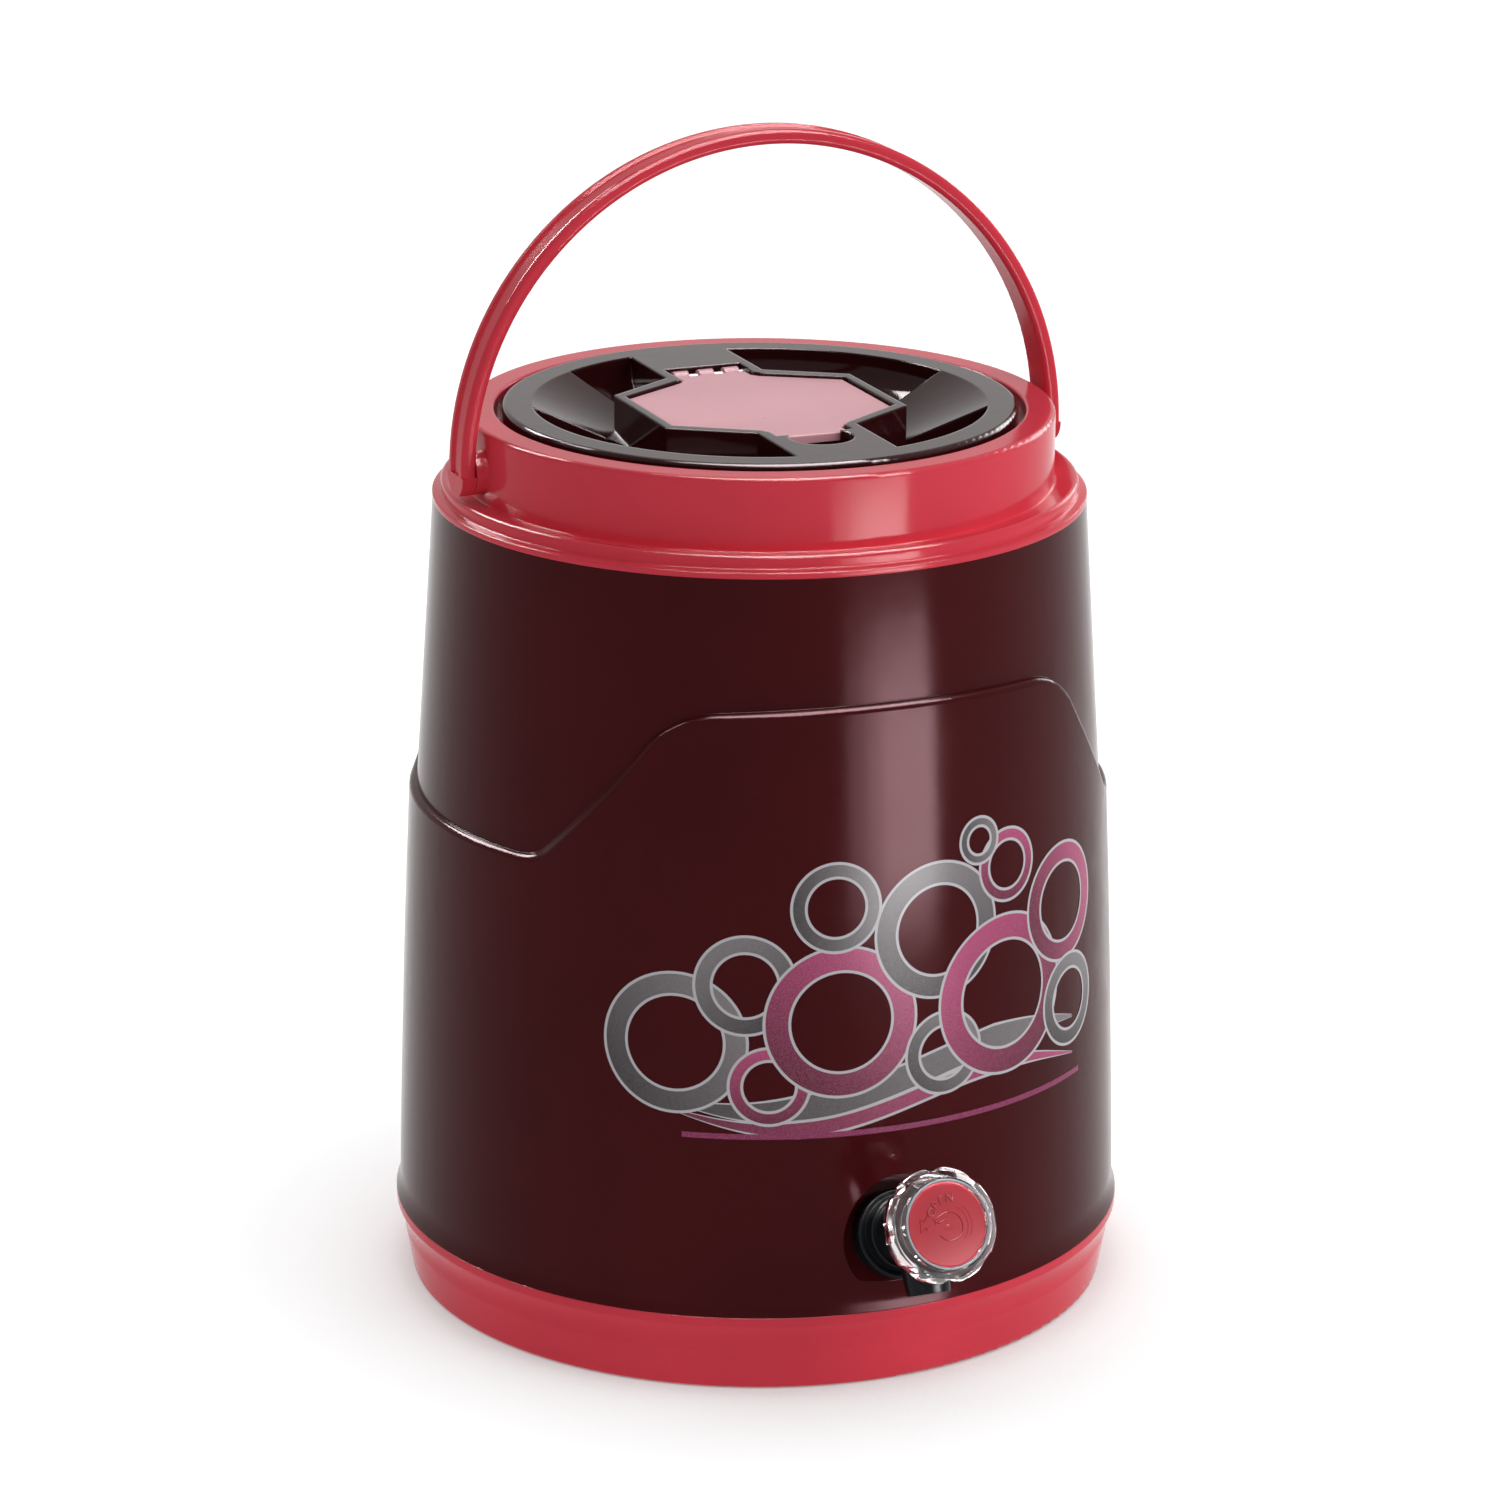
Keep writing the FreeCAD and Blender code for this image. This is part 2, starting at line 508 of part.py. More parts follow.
# Base cover: a cup with a cove under its lip, a relief in its bottom and wells for the screws
def make_base_cover():
    cup = turned_body("base_cup", [
        ("0", "0"),
        ("base_hub_radius", "0"),
        ("base_hub_radius + base_relief", "base_relief"),
        ("base_ring_radius - base_relief", "base_relief"),
        ("base_ring_radius", "0"),
        ("base_bottom_radius - base_edge_round", "0"),
        ("base_bottom_radius", "base_edge_round"),
        ("base_wall_radius", "base_wall_height"),
        ("body_foot_radius", "base_height - base_lip_height"),
        ("body_foot_radius", "base_height"),
        ("body_foot_radius - base_wall", "base_height"),
        ("body_foot_radius - base_wall", "base_height - base_lip_height - 1"),
        ("base_wall_radius - base_wall", "base_wall_height"),
        ("base_bottom_radius - base_wall", "base_floor"),
        ("0", "base_floor"),
    ], {5: "base_edge_round", 7: "-base_cove_radius"})
    bosses, holes = [], []
    for number in range(SCREW_COUNT):
        boss = cylinder(f"base_boss_{number}", "screw_boss_radius", "body_rim_height - foam_gap - base_relief")
        bosses.append(on_screw_circle(boss, number, "base_relief"))
        well = cylinder(f"base_well_{number}", "screw_well_radius", "screw_well_depth + 1")
        holes.append(on_screw_circle(well, number, "-1"))
        hole = cylinder(f"base_hole_{number}", "screw_shank + foam_gap", "body_rim_height")
        holes.append(on_screw_circle(hole, number, "0"))
    node("base_cover", cut("base_cover_cut", fused("base_with_bosses", [cup] + bosses), fused("base_holes", holes)))


# Base screws: one pan head screw in each well
def make_base_screws():
    screws = []
    for number in range(SCREW_COUNT):
        screw = turned_body(f"screw_{number}", [
            ("0", "-screw_head_height"),
            ("screw_head_radius - 1", "-screw_head_height"),
            ("screw_head_radius", "-screw_head_height + 1"),
            ("screw_head_radius", "0"),
            ("screw_shank", "0"),
            ("screw_shank", "screw_length - screw_shank"),
            ("0", "screw_length"),
        ])
        screws.append(on_screw_circle(screw, number, "screw_well_depth"))
    group = doc.addObject("Part::Compound", "base_screw_group")
    group.Links = screws
    node("base_screws", group)


# Outer body: upper wall, proud lower wall that ends in the wave, and the pocket for the tap
def make_outer_body():
    lower_wall = new_body("lower_wall")
    band = add_turned(lower_wall, "lower_band", [
        ("body_foot_radius - 6", "base_height"),
        ("body_foot_radius", "base_height"),
        ("body_low_radius", "base_height + body_flare_height"),
        ("body_step_radius", "body_step_height"),
        ("body_step_radius - 0.6", "body_step_height + 10"),
        ("body_step_radius - 6.5", "body_step_height + 10"),
        ("body_step_radius - 5", "body_step_height"),
        ("upper_low_radius - 1.5", "upper_low_height"),
        ("body_low_radius - 5.5", "base_height + body_flare_height"),
    ], {1: "-22", 2: "body_bulge_radius"})
    wave = sketch_in(lower_wall, "wave_outline", "XZ_Plane", [
        ("-body_foot_radius - 5", "wave_low"),
        ("-wave_foot", "wave_low"),
        ("-wave_flank", "wave_low + wave_flank_rise"),
        ("-wave_shoulder", "body_step_height - wave_shoulder_drop"),
        ("-wave_crest_half", "body_step_height - wave_crest_drop"),
        ("wave_crest_half", "body_step_height - wave_crest_drop"),
        ("wave_shoulder", "body_step_height - wave_shoulder_drop"),
        ("wave_flank", "wave_low + wave_flank_rise"),
        ("wave_foot", "wave_low"),
        ("body_foot_radius + 5", "wave_low"),
        ("body_foot_radius + 5", "body_step_height + 20"),
        ("-body_foot_radius - 5", "body_step_height + 20"),
    ], {1: "wave_foot_round", 3: "-wave_shoulder_round",
        4: "-(wave_crest_half ^ 2 + wave_crest_drop ^ 2) / (2 * wave_crest_drop)",
        5: "-wave_shoulder_round", 7: "wave_foot_round"})
    above_wave = lower_wall.newObject("PartDesign::Pocket", "above_wave")
    above_wave.Profile = wave
    above_wave.Type = 1
    above_wave.Midplane = True
    doc.recompute()
    if above_wave.Shape.Volume > 0.9 * band.Shape.Volume:
        raise RuntimeError("the wave cuts nothing")

    low_edge = value("wave_low") - 0.5
    clear_of_top = value("body_step_height") + 5
    inner_limit = value("step_depth")

    def step_edge(edge):
        points = edge.discretize(9)
        radii = [math.hypot(p.x, p.y) for p in points]
        heights = [p.z for p in points]
        outer = [wall_radius(z) for z in heights]
        return (min(heights) > low_edge and max(heights) < clear_of_top
                and all(abs(r - limit) < inner_limit / 3 for r, limit in zip(radii, outer)))

    add_round(lower_wall, above_wave, "step_edge_round", "step_round", step_edge)
    upper_wall = turned_body("upper_wall", [
        ("body_rim_inner", "body_rim_height"),
        ("body_foot_radius - base_wall - skirt_gap - 1.2", "body_rim_height"),
        ("body_foot_radius - base_wall - skirt_gap", "body_rim_height + 2.4"),
        ("body_foot_radius - base_wall - skirt_gap", "base_height"),
        ("body_low_radius - step_depth", "base_height + body_flare_height"),
        ("upper_low_radius", "upper_low_height"),
        ("body_top_radius", "body_top_height"),
        ("body_top_radius - body_wall", "body_top_height"),
        ("upper_low_radius - body_wall", "upper_low_height"),
        ("body_low_radius - step_depth - body_wall", "base_height + body_flare_height"),
        ("body_low_radius - step_depth - body_wall", "body_rim_height + body_wall"),
        ("body_rim_inner", "body_rim_height + body_wall"),
    ])
    posts, pilots = [], []
    for number in range(SCREW_COUNT):
        post = cylinder(f"post_{number}", "screw_boss_radius", "body_post_height")
        posts.append(on_screw_circle(post, number, "body_rim_height"))
        pilot = cylinder(f"pilot_{number}", "screw_shank + 0.05", "body_post_height")
        pilots.append(on_screw_circle(pilot, number, "body_rim_height - 1"))
    # this shape keeps the tap's boss below the surface of the lower wall
    envelope = turned_body("tap_boss_envelope", [
        ("0", "base_height + 1"),
        ("body_low_radius - 1.5", "base_height + 1"),
        ("body_step_radius - 1.5", "body_step_height"),
        ("0", "body_step_height"),
    ])
    boss = on_tap(cylinder("tap_boss_bar", "seat_boss_radius", "seat_boss_wall + 20"), "-seat_boss_wall")
    walls = fused("body_walls", [lower_wall, upper_wall, common("tap_boss", boss, envelope)] + posts)
    pocket = on_tap(cylinder("tap_pocket", "seat_pocket_radius", "40"))
    shank_hole = on_tap(cylinder("shank_hole", "shank_radius + shank_gap", "60"), "-30")
    node("outer_body", cut("outer_body_cut", walls, fused("body_cuts", [pocket, shank_hole] + pilots)))


def wall_radius(height):
    """Radius of the lower wall at a height."""
    low, high = value("base_height + body_flare_height"), value("body_step_height")
    share = (height - low) / (high - low)
    chord_radius = value("body_low_radius") + share * (value("body_step_radius") - value("body_low_radius"))
    bulge = (high - low) ** 2 / (8 * value("body_bulge_radius"))
    return chord_radius + bulge * (1 - (2 * share - 1) ** 2)


# Inner tank: straight wall, shoulder and neck, with a tilted boss for the tap
def make_inner_liner():
    tank = turned_body("tank", [
        ("0", "tank_floor_height - tank_wall"),
        ("tank_bottom_radius - tank_corner", "tank_floor_height - tank_wall"),
        ("tank_bottom_radius + tank_wall", "tank_floor_height + tank_corner"),
        ("tank_top_radius + tank_wall", "tank_shoulder_height"),
        ("neck_radius + tank_wall", "neck_low_height"),
        ("neck_radius + tank_wall", "neck_top_height - tank_wall"),
        ("neck_rim_radius", "neck_top_height - tank_wall"),
        ("neck_rim_radius", "neck_top_height"),
        ("neck_radius", "neck_top_height"),
        ("neck_radius", "neck_ridge_low + 3"),
        ("neck_radius - neck_ridge", "neck_ridge_low + 2"),
        ("neck_radius - neck_ridge", "neck_ridge_low + 1"),
        ("neck_radius", "neck_ridge_low"),
        ("neck_radius", "neck_low_height - 1"),
        ("tank_top_radius", "tank_shoulder_height - 1"),
        ("tank_bottom_radius", "tank_floor_height + tank_corner"),
        ("tank_bottom_radius - tank_corner", "tank_floor_height"),
        ("0", "tank_floor_height"),
    ], {1: "tank_corner + tank_wall", 15: "-tank_corner"})
    boss = on_tap(cylinder("liner_boss", "liner_boss_radius", "liner_boss_rear - liner_boss_front"),
                  "-liner_boss_rear")
    pocket = on_tap(cylinder("liner_pocket", "liner_pocket_radius", "30"), "-liner_seat - 30")
    hole = on_tap(cylinder("liner_hole", "shank_radius + shank_gap", "40"), "-liner_seat - 20")
    tools = fused("liner_cuts", [pocket, hole])
    node("inner_liner", cut("inner_liner_cut", fused("tank_with_boss", [tank, boss]), tools))


# Insulation: fills the space between tank and outer body
def make_foam():
    fill = turned_body("foam_fill", [
        ("0", "base_floor + foam_gap"),
        ("body_rim_inner - foam_gap", "base_floor + foam_gap"),
        ("body_rim_inner - foam_gap", "body_rim_height + body_wall + foam_gap"),
        ("body_low_radius - step_depth - body_wall - foam_gap", "body_rim_height + body_wall + foam_gap"),
        ("body_low_radius - step_depth - body_wall - foam_gap", "base_height + body_flare_height"),
        ("upper_low_radius - body_wall - foam_gap", "upper_low_height"),
        ("body_top_radius - body_wall - foam_gap + (body_top_height - foam_top_height)"
         " * (upper_low_radius - body_top_radius) / (body_top_height - upper_low_height)", "foam_top_height"),
        ("neck_radius + tank_wall + foam_gap * 2 + (neck_low_height - foam_top_height)"
         " * (tank_top_radius - neck_radius) / (neck_low_height - tank_shoulder_height)", "foam_top_height"),
        ("tank_top_radius + tank_wall + foam_gap", "tank_shoulder_height"),
        ("tank_bottom_radius + tank_wall + foam_gap", "tank_floor_height + tank_corner"),
        ("tank_bottom_radius - tank_corner", "tank_floor_height - tank_wall - foam_gap"),
        ("0", "tank_floor_height - tank_wall - foam_gap"),
    ], {9: "-(tank_corner + tank_wall + foam_gap)"})
    front = on_tap(cylinder("foam_front_cut", "seat_boss_radius + foam_gap", "40"),
                   "-seat_boss_wall - foam_gap")
    rear = on_tap(cylinder("foam_rear_cut", "liner_boss_radius + foam_gap",
                           "liner_boss_rear - liner_boss_front + 2 * foam_gap"), "-liner_boss_rear - foam_gap")
    passage = on_tap(cylinder("foam_passage", "shank_radius + shank_gap", "60"), "-liner_boss_rear")
    posts = []
    for number in range(SCREW_COUNT):
        post = cylinder(f"foam_post_{number}", "screw_boss_radius + foam_gap", "body_post_height + foam_gap")
        posts.append(on_screw_circle(post, number, "body_rim_height"))
    node("foam_insulation", cut("foam_cut", fill, fused("foam_cuts", [front, rear, passage] + posts)))


# Collar: spigot, flange, ring round the mouth and the two pivot bosses
def make_top_collar():
    ring = turned_body("collar_ring", [
        ("body_top_radius - body_wall - spigot_gap - collar_wall", "body_top_height - spigot_depth"),
        ("body_top_radius - body_wall - spigot_gap", "body_top_height - spigot_depth"),
        ("body_top_radius - body_wall - spigot_gap", "body_top_height"),
        ("flange_lip_radius", "body_top_height"),
        ("flange_lip_radius", "body_top_height + flange_lip_height"),
        ("flange_radius", "body_top_height + flange_lip_height + 0.8"),
        ("flange_radius", "flange_top - flange_round"),
        ("flange_radius - flange_round", "flange_top"),
        ("collar_radius + 1.2", "flange_top - flange_dish"),
        ("collar_radius", "flange_top - flange_dish"),
        ("collar_radius", "collar_top - collar_round"),
        ("collar_radius - collar_round", "collar_top"),
        ("collar_inner + collar_round / 2", "collar_top"),
        ("collar_inner", "collar_top - collar_round / 2"),
        ("collar_inner", "collar_skirt_low"),
        ("collar_inner + collar_wall", "collar_skirt_low"),
        ("collar_inner + collar_wall", "collar_top - collar_wall"),
        ("collar_radius - collar_wall", "collar_top - collar_wall"),
        ("collar_radius - collar_wall", "flange_top - flange_dish - flange_thickness"),
        ("body_top_radius - body_wall - spigot_gap - collar_wall",
         "flange_top - flange_dish - flange_thickness"),
    ], {6: "flange_round", 7: "-40", 10: "collar_round", 12: "collar_round / 2"})
    bosses, bores = [], []
    for side, turn in (("left", "-90"), ("right", "90")):
        sign = "-" if side == "left" else ""
        reach = "handle_radius - handle_thickness - pivot_gap"
        boss = cylinder(f"pivot_boss_{side}", "pivot_boss_radius",
                        f"{reach} - (collar_radius - pivot_boss_inset)")
        bosses.append(place(boss, x=f"{sign}(collar_radius - pivot_boss_inset)", z="pivot_height",
                            axis=(0, 1, 0), angle=turn))
        bore = cylinder(f"pivot_bore_{side}", "pivot_pin_radius + pivot_fit", "20")
        bores.append(place(bore, x=f"{sign}(collar_inner + collar_wall + 0.5)", z="pivot_height",
                           axis=(0, 1, 0), angle=turn))
    node("top_collar", cut("top_collar_cut", fused("collar_with_bosses", [ring] + bosses),
                           fused("pivot_bores", bores)))


# Handle: half a turn of a channelled strap with a rounded end at each pivot
def make_handle():
    arch = new_body("handle_arch")
    half = "handle_width / 2"
    inner = "(handle_radius - handle_thickness)"
    section = sketch_in(arch, "handle_section", "YZ_Plane", [
        (f"-{half}", f"{inner} + handle_bead"),
        (f"-{half} + handle_bead", inner),
        (f"{half} - handle_bead", inner),
        (half, f"{inner} + handle_bead"),
        (half, "handle_radius - handle_bead"),
        (f"{half} - handle_bead", "handle_radius"),
        (f"{half} - handle_channel_rear", "handle_radius"),
        (f"{half} - handle_channel_rear - handle_channel", "handle_radius - handle_channel"),
        (f"-{half} + handle_channel_front + handle_channel", "handle_radius - handle_channel"),
        (f"-{half} + handle_channel_front", "handle_radius"),
        (f"-{half} + handle_bead", "handle_radius"),
        (f"-{half}", "handle_radius - handle_bead"),
    ], {0: "handle_bead", 2: "handle_bead", 4: "handle_bead", 10: "handle_bead"})
    sweep = arch.newObject("PartDesign::Revolution", "handle_sweep")
    sweep.Profile = section
    sweep.ReferenceAxis = (section, ["H_Axis"])
    sweep.Midplane = True
    sweep.Angle = 180
    place(arch, z="pivot_height")
    ends, holes = [], []
    for side, sign, turn in (("left", "-", "-90"), ("right", "", "90")):
        end = cylinder(f"handle_end_{side}", half, "handle_thickness", "180")
        # the half disc hangs below the pivot: its flat side closes the end of the arch
        end.Placement = Placement(Vector(0, 0, 0), Rotation(Vector(0, 1, 0), float(turn)))
        flip = Rotation(Vector(0, 0, 1), 90 if side == "left" else -90)
        end.Placement.Rotation = Rotation(Vector(0, 1, 0), float(turn)).multiply(flip)
        end.setExpression(".Placement.Base.x", bound(f"{sign}(handle_radius - handle_thickness)"))
        end.setExpression(".Placement.Base.z", bound("pivot_height"))
        ends.append(end)
        hole = cylinder(f"handle_hole_{side}", "pivot_pin_radius", "pivot_pin_depth + 1")
        holes.append(place(hole, x=f"{sign}(handle_radius - handle_thickness - 1)", z="pivot_height",
                           axis=(0, 1, 0), angle=turn))
    node("handle", cut("handle_cut", fused("handle_strap", [arch] + ends), fused("handle_holes", holes)))


# Pivot pins and their retaining clips, one of each on either side
def make_pivots():
    for side, sign, turn in (("left", "-", "-90"), ("right", "", "90")):
        clip_face = "collar_radius - pivot_boss_inset - pivot_gap - clip_thickness"
        pin = turned_body(f"pin_{side}", [
            ("0", "0"),
            ("pivot_pin_radius - 0.5", "0"),
            ("pivot_pin_radius", "0.5"),
            ("pivot_pin_radius", f"handle_radius - handle_thickness + pivot_pin_depth - ({clip_face} - pin_tail)"),
            ("0", f"handle_radius - handle_thickness + pivot_pin_depth - ({clip_face} - pin_tail)"),
        ])
        place(pin, x=f"{sign}({clip_face} - pin_tail)", z="pivot_height", axis=(0, 1, 0), angle=turn)
        node(f"handle_pivot_pin_{side}", pin)
        clip = turned_body(f"clip_{side}", [
            ("pivot_pin_radius", "0"),
            ("clip_radius", "0"),
            ("clip_radius", "clip_thickness"),
            ("pivot_pin_radius", "clip_thickness"),
        ])
        place(clip, x=f"{sign}({clip_face})", z="pivot_height", axis=(0, 1, 0), angle=turn)
        node(f"handle_clip_{side}", clip)


def island_outline(margin):
    """Outline of the lid's island and bridges, drawn in by a margin."""
    side = f"(island_half - {margin})"
    bridge = f"(bridge_half - {margin})"
    start = f"(bridge_start - {margin} / 2)"
    straight = f"(island_side - {margin} / 2)"
    return side, bridge, start, straight


# Upper lid: rim, bowl with two finger ramps, and the island with the flap's recess
def make_lid_outer_shell():
    blank = turned_body("lid_blank", [
        ("pour_radius + pour_wall + lid_foam_gap", "lid_floor_low"),
        ("lid_plug_radius", "lid_floor_low"),
        ("lid_plug_radius", "lid_flange_low"),
        ("lid_radius", "lid_flange_low"),
        ("lid_radius", "lid_top - lid_round"),
        ("lid_radius - lid_round", "lid_top"),
        ("pour_radius + pour_wall + lid_foam_gap", "lid_top"),
    ], {4: "lid_round"})
    depth = "lid_top - bowl_floor"
    pieces = []
    gaps = (("rear", "ramp_right_start + ramp_angle", "ramp_left_start - ramp_right_start - ramp_angle"),
            ("front", "ramp_left_start + ramp_angle",
             "360 + ramp_right_start - ramp_left_start - ramp_angle"))
    sectors = [place(cylinder(f"bowl_{name}", "bowl_radius + 1", depth, sweep),
                     z="bowl_floor", axis=(0, 0, 1), angle=start) for name, start, sweep in gaps]
    dish = turned_body("bowl_dish", [
        ("0", "bowl_floor"), ("bowl_radius - bowl_round", "bowl_floor"),
        ("bowl_radius", "bowl_floor + bowl_round"), ("bowl_radius", "lid_top"), ("0", "lid_top"),
    ], {1: "bowl_round"})
    pieces.append(common("bowl_pockets", fused("bowl_sectors", sectors), dish))
    for name, start in (("left", "ramp_left_start"), ("right", "ramp_right_start")):
        ramp = doc.addObject("Part::Cone", f"ramp_{name}")
        bind(ramp, Radius1="ramp_inner", Radius2="bowl_radius", Height=depth, Angle="ramp_angle")
        pieces.append(place(ramp, z="bowl_floor", axis=(0, 0, 1), angle=start))
    island = new_body("island")
    side, bridge, start, straight = island_outline("0")
    reach = "lid_radius + 5"
    add_pad(island, "island_block", "XY_Plane", [
        (f"-{bridge}", f"-({reach})"), (bridge, f"-({reach})"),
        (bridge, f"-{start}"), (side, f"-{straight}"),
        (side, straight), (bridge, start),
        (bridge, reach), (f"-{bridge}", reach),
        (f"-{bridge}", start), (f"-{side}", straight),
        (f"-{side}", f"-{straight}"), (f"-{bridge}", f"-{start}"),
    ], "lid_top - bowl_floor + 10", offset="bowl_floor - 5")
    bowl = cut("bowl_cut", fused("bowl_pieces", pieces), island)
    core = new_body("island_core")
    side, bridge, start, straight = island_outline("core_wall")
    add_pad(core, "core_block", "XY_Plane", [
        (bridge, f"-{start}"), (side, f"-{straight}"),
        (side, straight), (bridge, start),
        (f"-{bridge}", start), (f"-{side}", straight),
        (f"-{side}", f"-{straight}"), (f"-{bridge}", f"-{start}"),
    ], "core_top - lid_floor_low + 1", offset="lid_floor_low - 1")
    tube_wall = cylinder("core_tube", "pour_radius + 2 * pour_wall + lid_foam_gap", "30")
    place(tube_wall, z="lid_floor_low - 1")
    hollow = cut("island_hollow", core, tube_wall)
    recess = new_body("flap_recess")
    add_pad(recess, "recess_block", "XY_Plane", flap_outline("flap_gap"), "20", offset="recess_floor")
    notch = place(cylinder("finger_notch", "notch_radius", "20"), y="-notch_distance", z="notch_floor")
    slot = doc.addObject("Part::Box", "hinge_slot")
    bind(slot, Length="2 * hinge_slot_half",
         Width="hinge_distance + hinge_slot_reach - flap_rear_end", Height="20")
    place(slot, x="-hinge_slot_half", y="flap_rear_end", z="hinge_height - hinge_slot_reach")
    pin_hole = place(cylinder("hinge_hole", "hinge_pin_radius", "2 * hinge_pin_half"),
                     x="-hinge_pin_half", y="hinge_distance", z="hinge_height", axis=(0, 1, 0), angle="90")
    tools = fused("lid_cuts", [bowl, hollow, recess, notch, slot, pin_hole])
    node("lid_outer_shell", cut("lid_outer_cut", blank, tools))


def flap_outline(margin):
    """Outline of the flap, drawn out by a margin."""
    side = f"(flap_half + {margin})"
    shoulder = f"(flap_shoulder_half + {margin})"
    tab = f"(flap_tab_half + {margin})"
    front = f"(flap_front_shoulder + {margin} / 2)"
    rear = f"(flap_rear_shoulder + {margin} / 2)"
    return [
        (f"-{tab}", f"-(flap_tab_end + {margin})"), (tab, f"-(flap_tab_end + {margin})"),
        (tab, f"-{front} - 3"), (shoulder, f"-{front}"),
        (side, f"-flap_side - {margin} / 2"), (side, f"flap_side + {margin} / 2"),
        (shoulder, rear), (tab, f"{rear} + 3"),
        (tab, f"flap_rear_end + {margin}"), (f"-{tab}", f"flap_rear_end + {margin}"),
        (f"-{tab}", f"{rear} + 3"), (f"-{shoulder}", rear),
        (f"-{side}", f"flap_side + {margin} / 2"), (f"-{side}", f"-flap_side - {margin} / 2"),
        (f"-{shoulder}", f"-{front}"), (f"-{tab}", f"-{front} - 3"),
    ]


# Lower lid: cup with the screw ridges and the pouring tube
def make_lid_inner_shell():
    wall = "lid_plug_radius - 0.2"
    corners = [
        ("pour_radius", "inner_lid_low"),
        (f"{wall} - 2", "inner_lid_low"),
        (wall, "inner_lid_low + 2"),
    ]
    for number in range(2):
        foot = f"lid_ridge_low + {number} * lid_ridge_pitch"
        corners += [
            (wall, foot),
            (f"{wall} + lid_ridge", f"{foot} + lid_ridge_width / 3"),
            (f"{wall} + lid_ridge", f"{foot} + lid_ridge_width * 2 / 3"),
            (wall, f"{foot} + lid_ridge_width"),
        ]
    joint = "lid_floor_low - lid_joint_gap"
    corners += [
        (wall, joint),
        (f"{wall} - inner_lid_wall", joint),
        (f"{wall} - inner_lid_wall", "inner_lid_low + inner_lid_wall"),
        ("pour_radius + pour_wall", "inner_lid_low + inner_lid_wall"),
        ("pour_radius + pour_wall", "recess_floor"),
        ("pour_radius", "recess_floor"),
    ]
    node("lid_inner_shell", turned_body("lid_cup", corners))


# Soft rings and foam of the lid
def make_lid_fillings():
    low = "inner_lid_low + inner_lid_wall + lid_foam_gap"
    high = "lid_floor_low - lid_foam_gap"
    outer = "lid_plug_radius - 0.2 - inner_lid_wall - lid_foam_gap"
    inner = "pour_radius + pour_wall + lid_foam_gap"
    node("lid_insulation", turned_body("lid_foam", [(inner, low), (outer, low), (outer, high), (inner, high)]))
    low, high = "neck_top_height + gasket_clearance", "lid_flange_low - gasket_clearance"
    inner, outer = "lid_plug_radius + 0.3", "lid_radius - 0.3"
    node("lid_gasket", turned_body("gasket_ring", [(inner, low), (outer, low), (outer, high), (inner, high)]))


# Pouring flap with its plug and knuckles, its pin and its seal
def make_flap():
    plate = new_body("flap_plate")
    pad = add_pad(plate, "flap_pad", "XY_Plane", flap_outline("0"), "flap_top - flap_low", offset="flap_low")
    top = value("flap_top")

    def top_edge(edge):
        return all(abs(v.Point.z - top) < 0.01 for v in edge.Vertexes)

    add_round(plate, pad, "flap_edge", "flap_edge_round", top_edge)
    plug = place(cylinder("flap_plug", "plug_radius", "flap_low - plug_low + 0.5"), z="plug_low")
    pieces, bores = [plate, plug], []
    for number in (-1, 0, 1):
        x = f"{number} * knuckle_step - knuckle_width / 2"
        knuckle = cylinder(f"knuckle_{number + 1}", "knuckle_radius", "knuckle_width")
        pieces.append(place(knuckle, x=x, y="hinge_distance", z="hinge_height", axis=(0, 1, 0), angle="90"))
        web = doc.addObject("Part::Box", f"knuckle_web_{number + 1}")
        bind(web, Length="knuckle_width", Width="hinge_distance - flap_rear_end + 1",
             Height="flap_top - flap_low - flap_edge_round")
        pieces.append(place(web, x=x, y="flap_rear_end - 1", z="flap_low"))
    bore = place(cylinder("knuckle_bore", "hinge_pin_radius + hinge_fit", "2 * hinge_slot_half"),
                 x="-hinge_slot_half", y="hinge_distance", z="hinge_height", axis=(0, 1, 0), angle="90")
    node("pour_flap", cut("pour_flap_cut", fused("flap_solid", pieces), bore))
    pin = cylinder("flap_pin", "hinge_pin_radius", "2 * hinge_pin_half")
    place(pin, x="-hinge_pin_half", y="hinge_distance", z="hinge_height", axis=(0, 1, 0), angle="90")
    node("flap_hinge_pin", pin)
    node("flap_seal", turned_body("flap_seal_ring", [
        ("plug_radius + 0.02", "seal_low"),
        ("seal_radius - 0.6", "seal_low"),
        ("seal_radius", "seal_low + 0.6"),
        ("seal_radius", "flap_low - seal_gap"),
        ("plug_radius + 0.02", "flap_low - seal_gap"),
    ]))


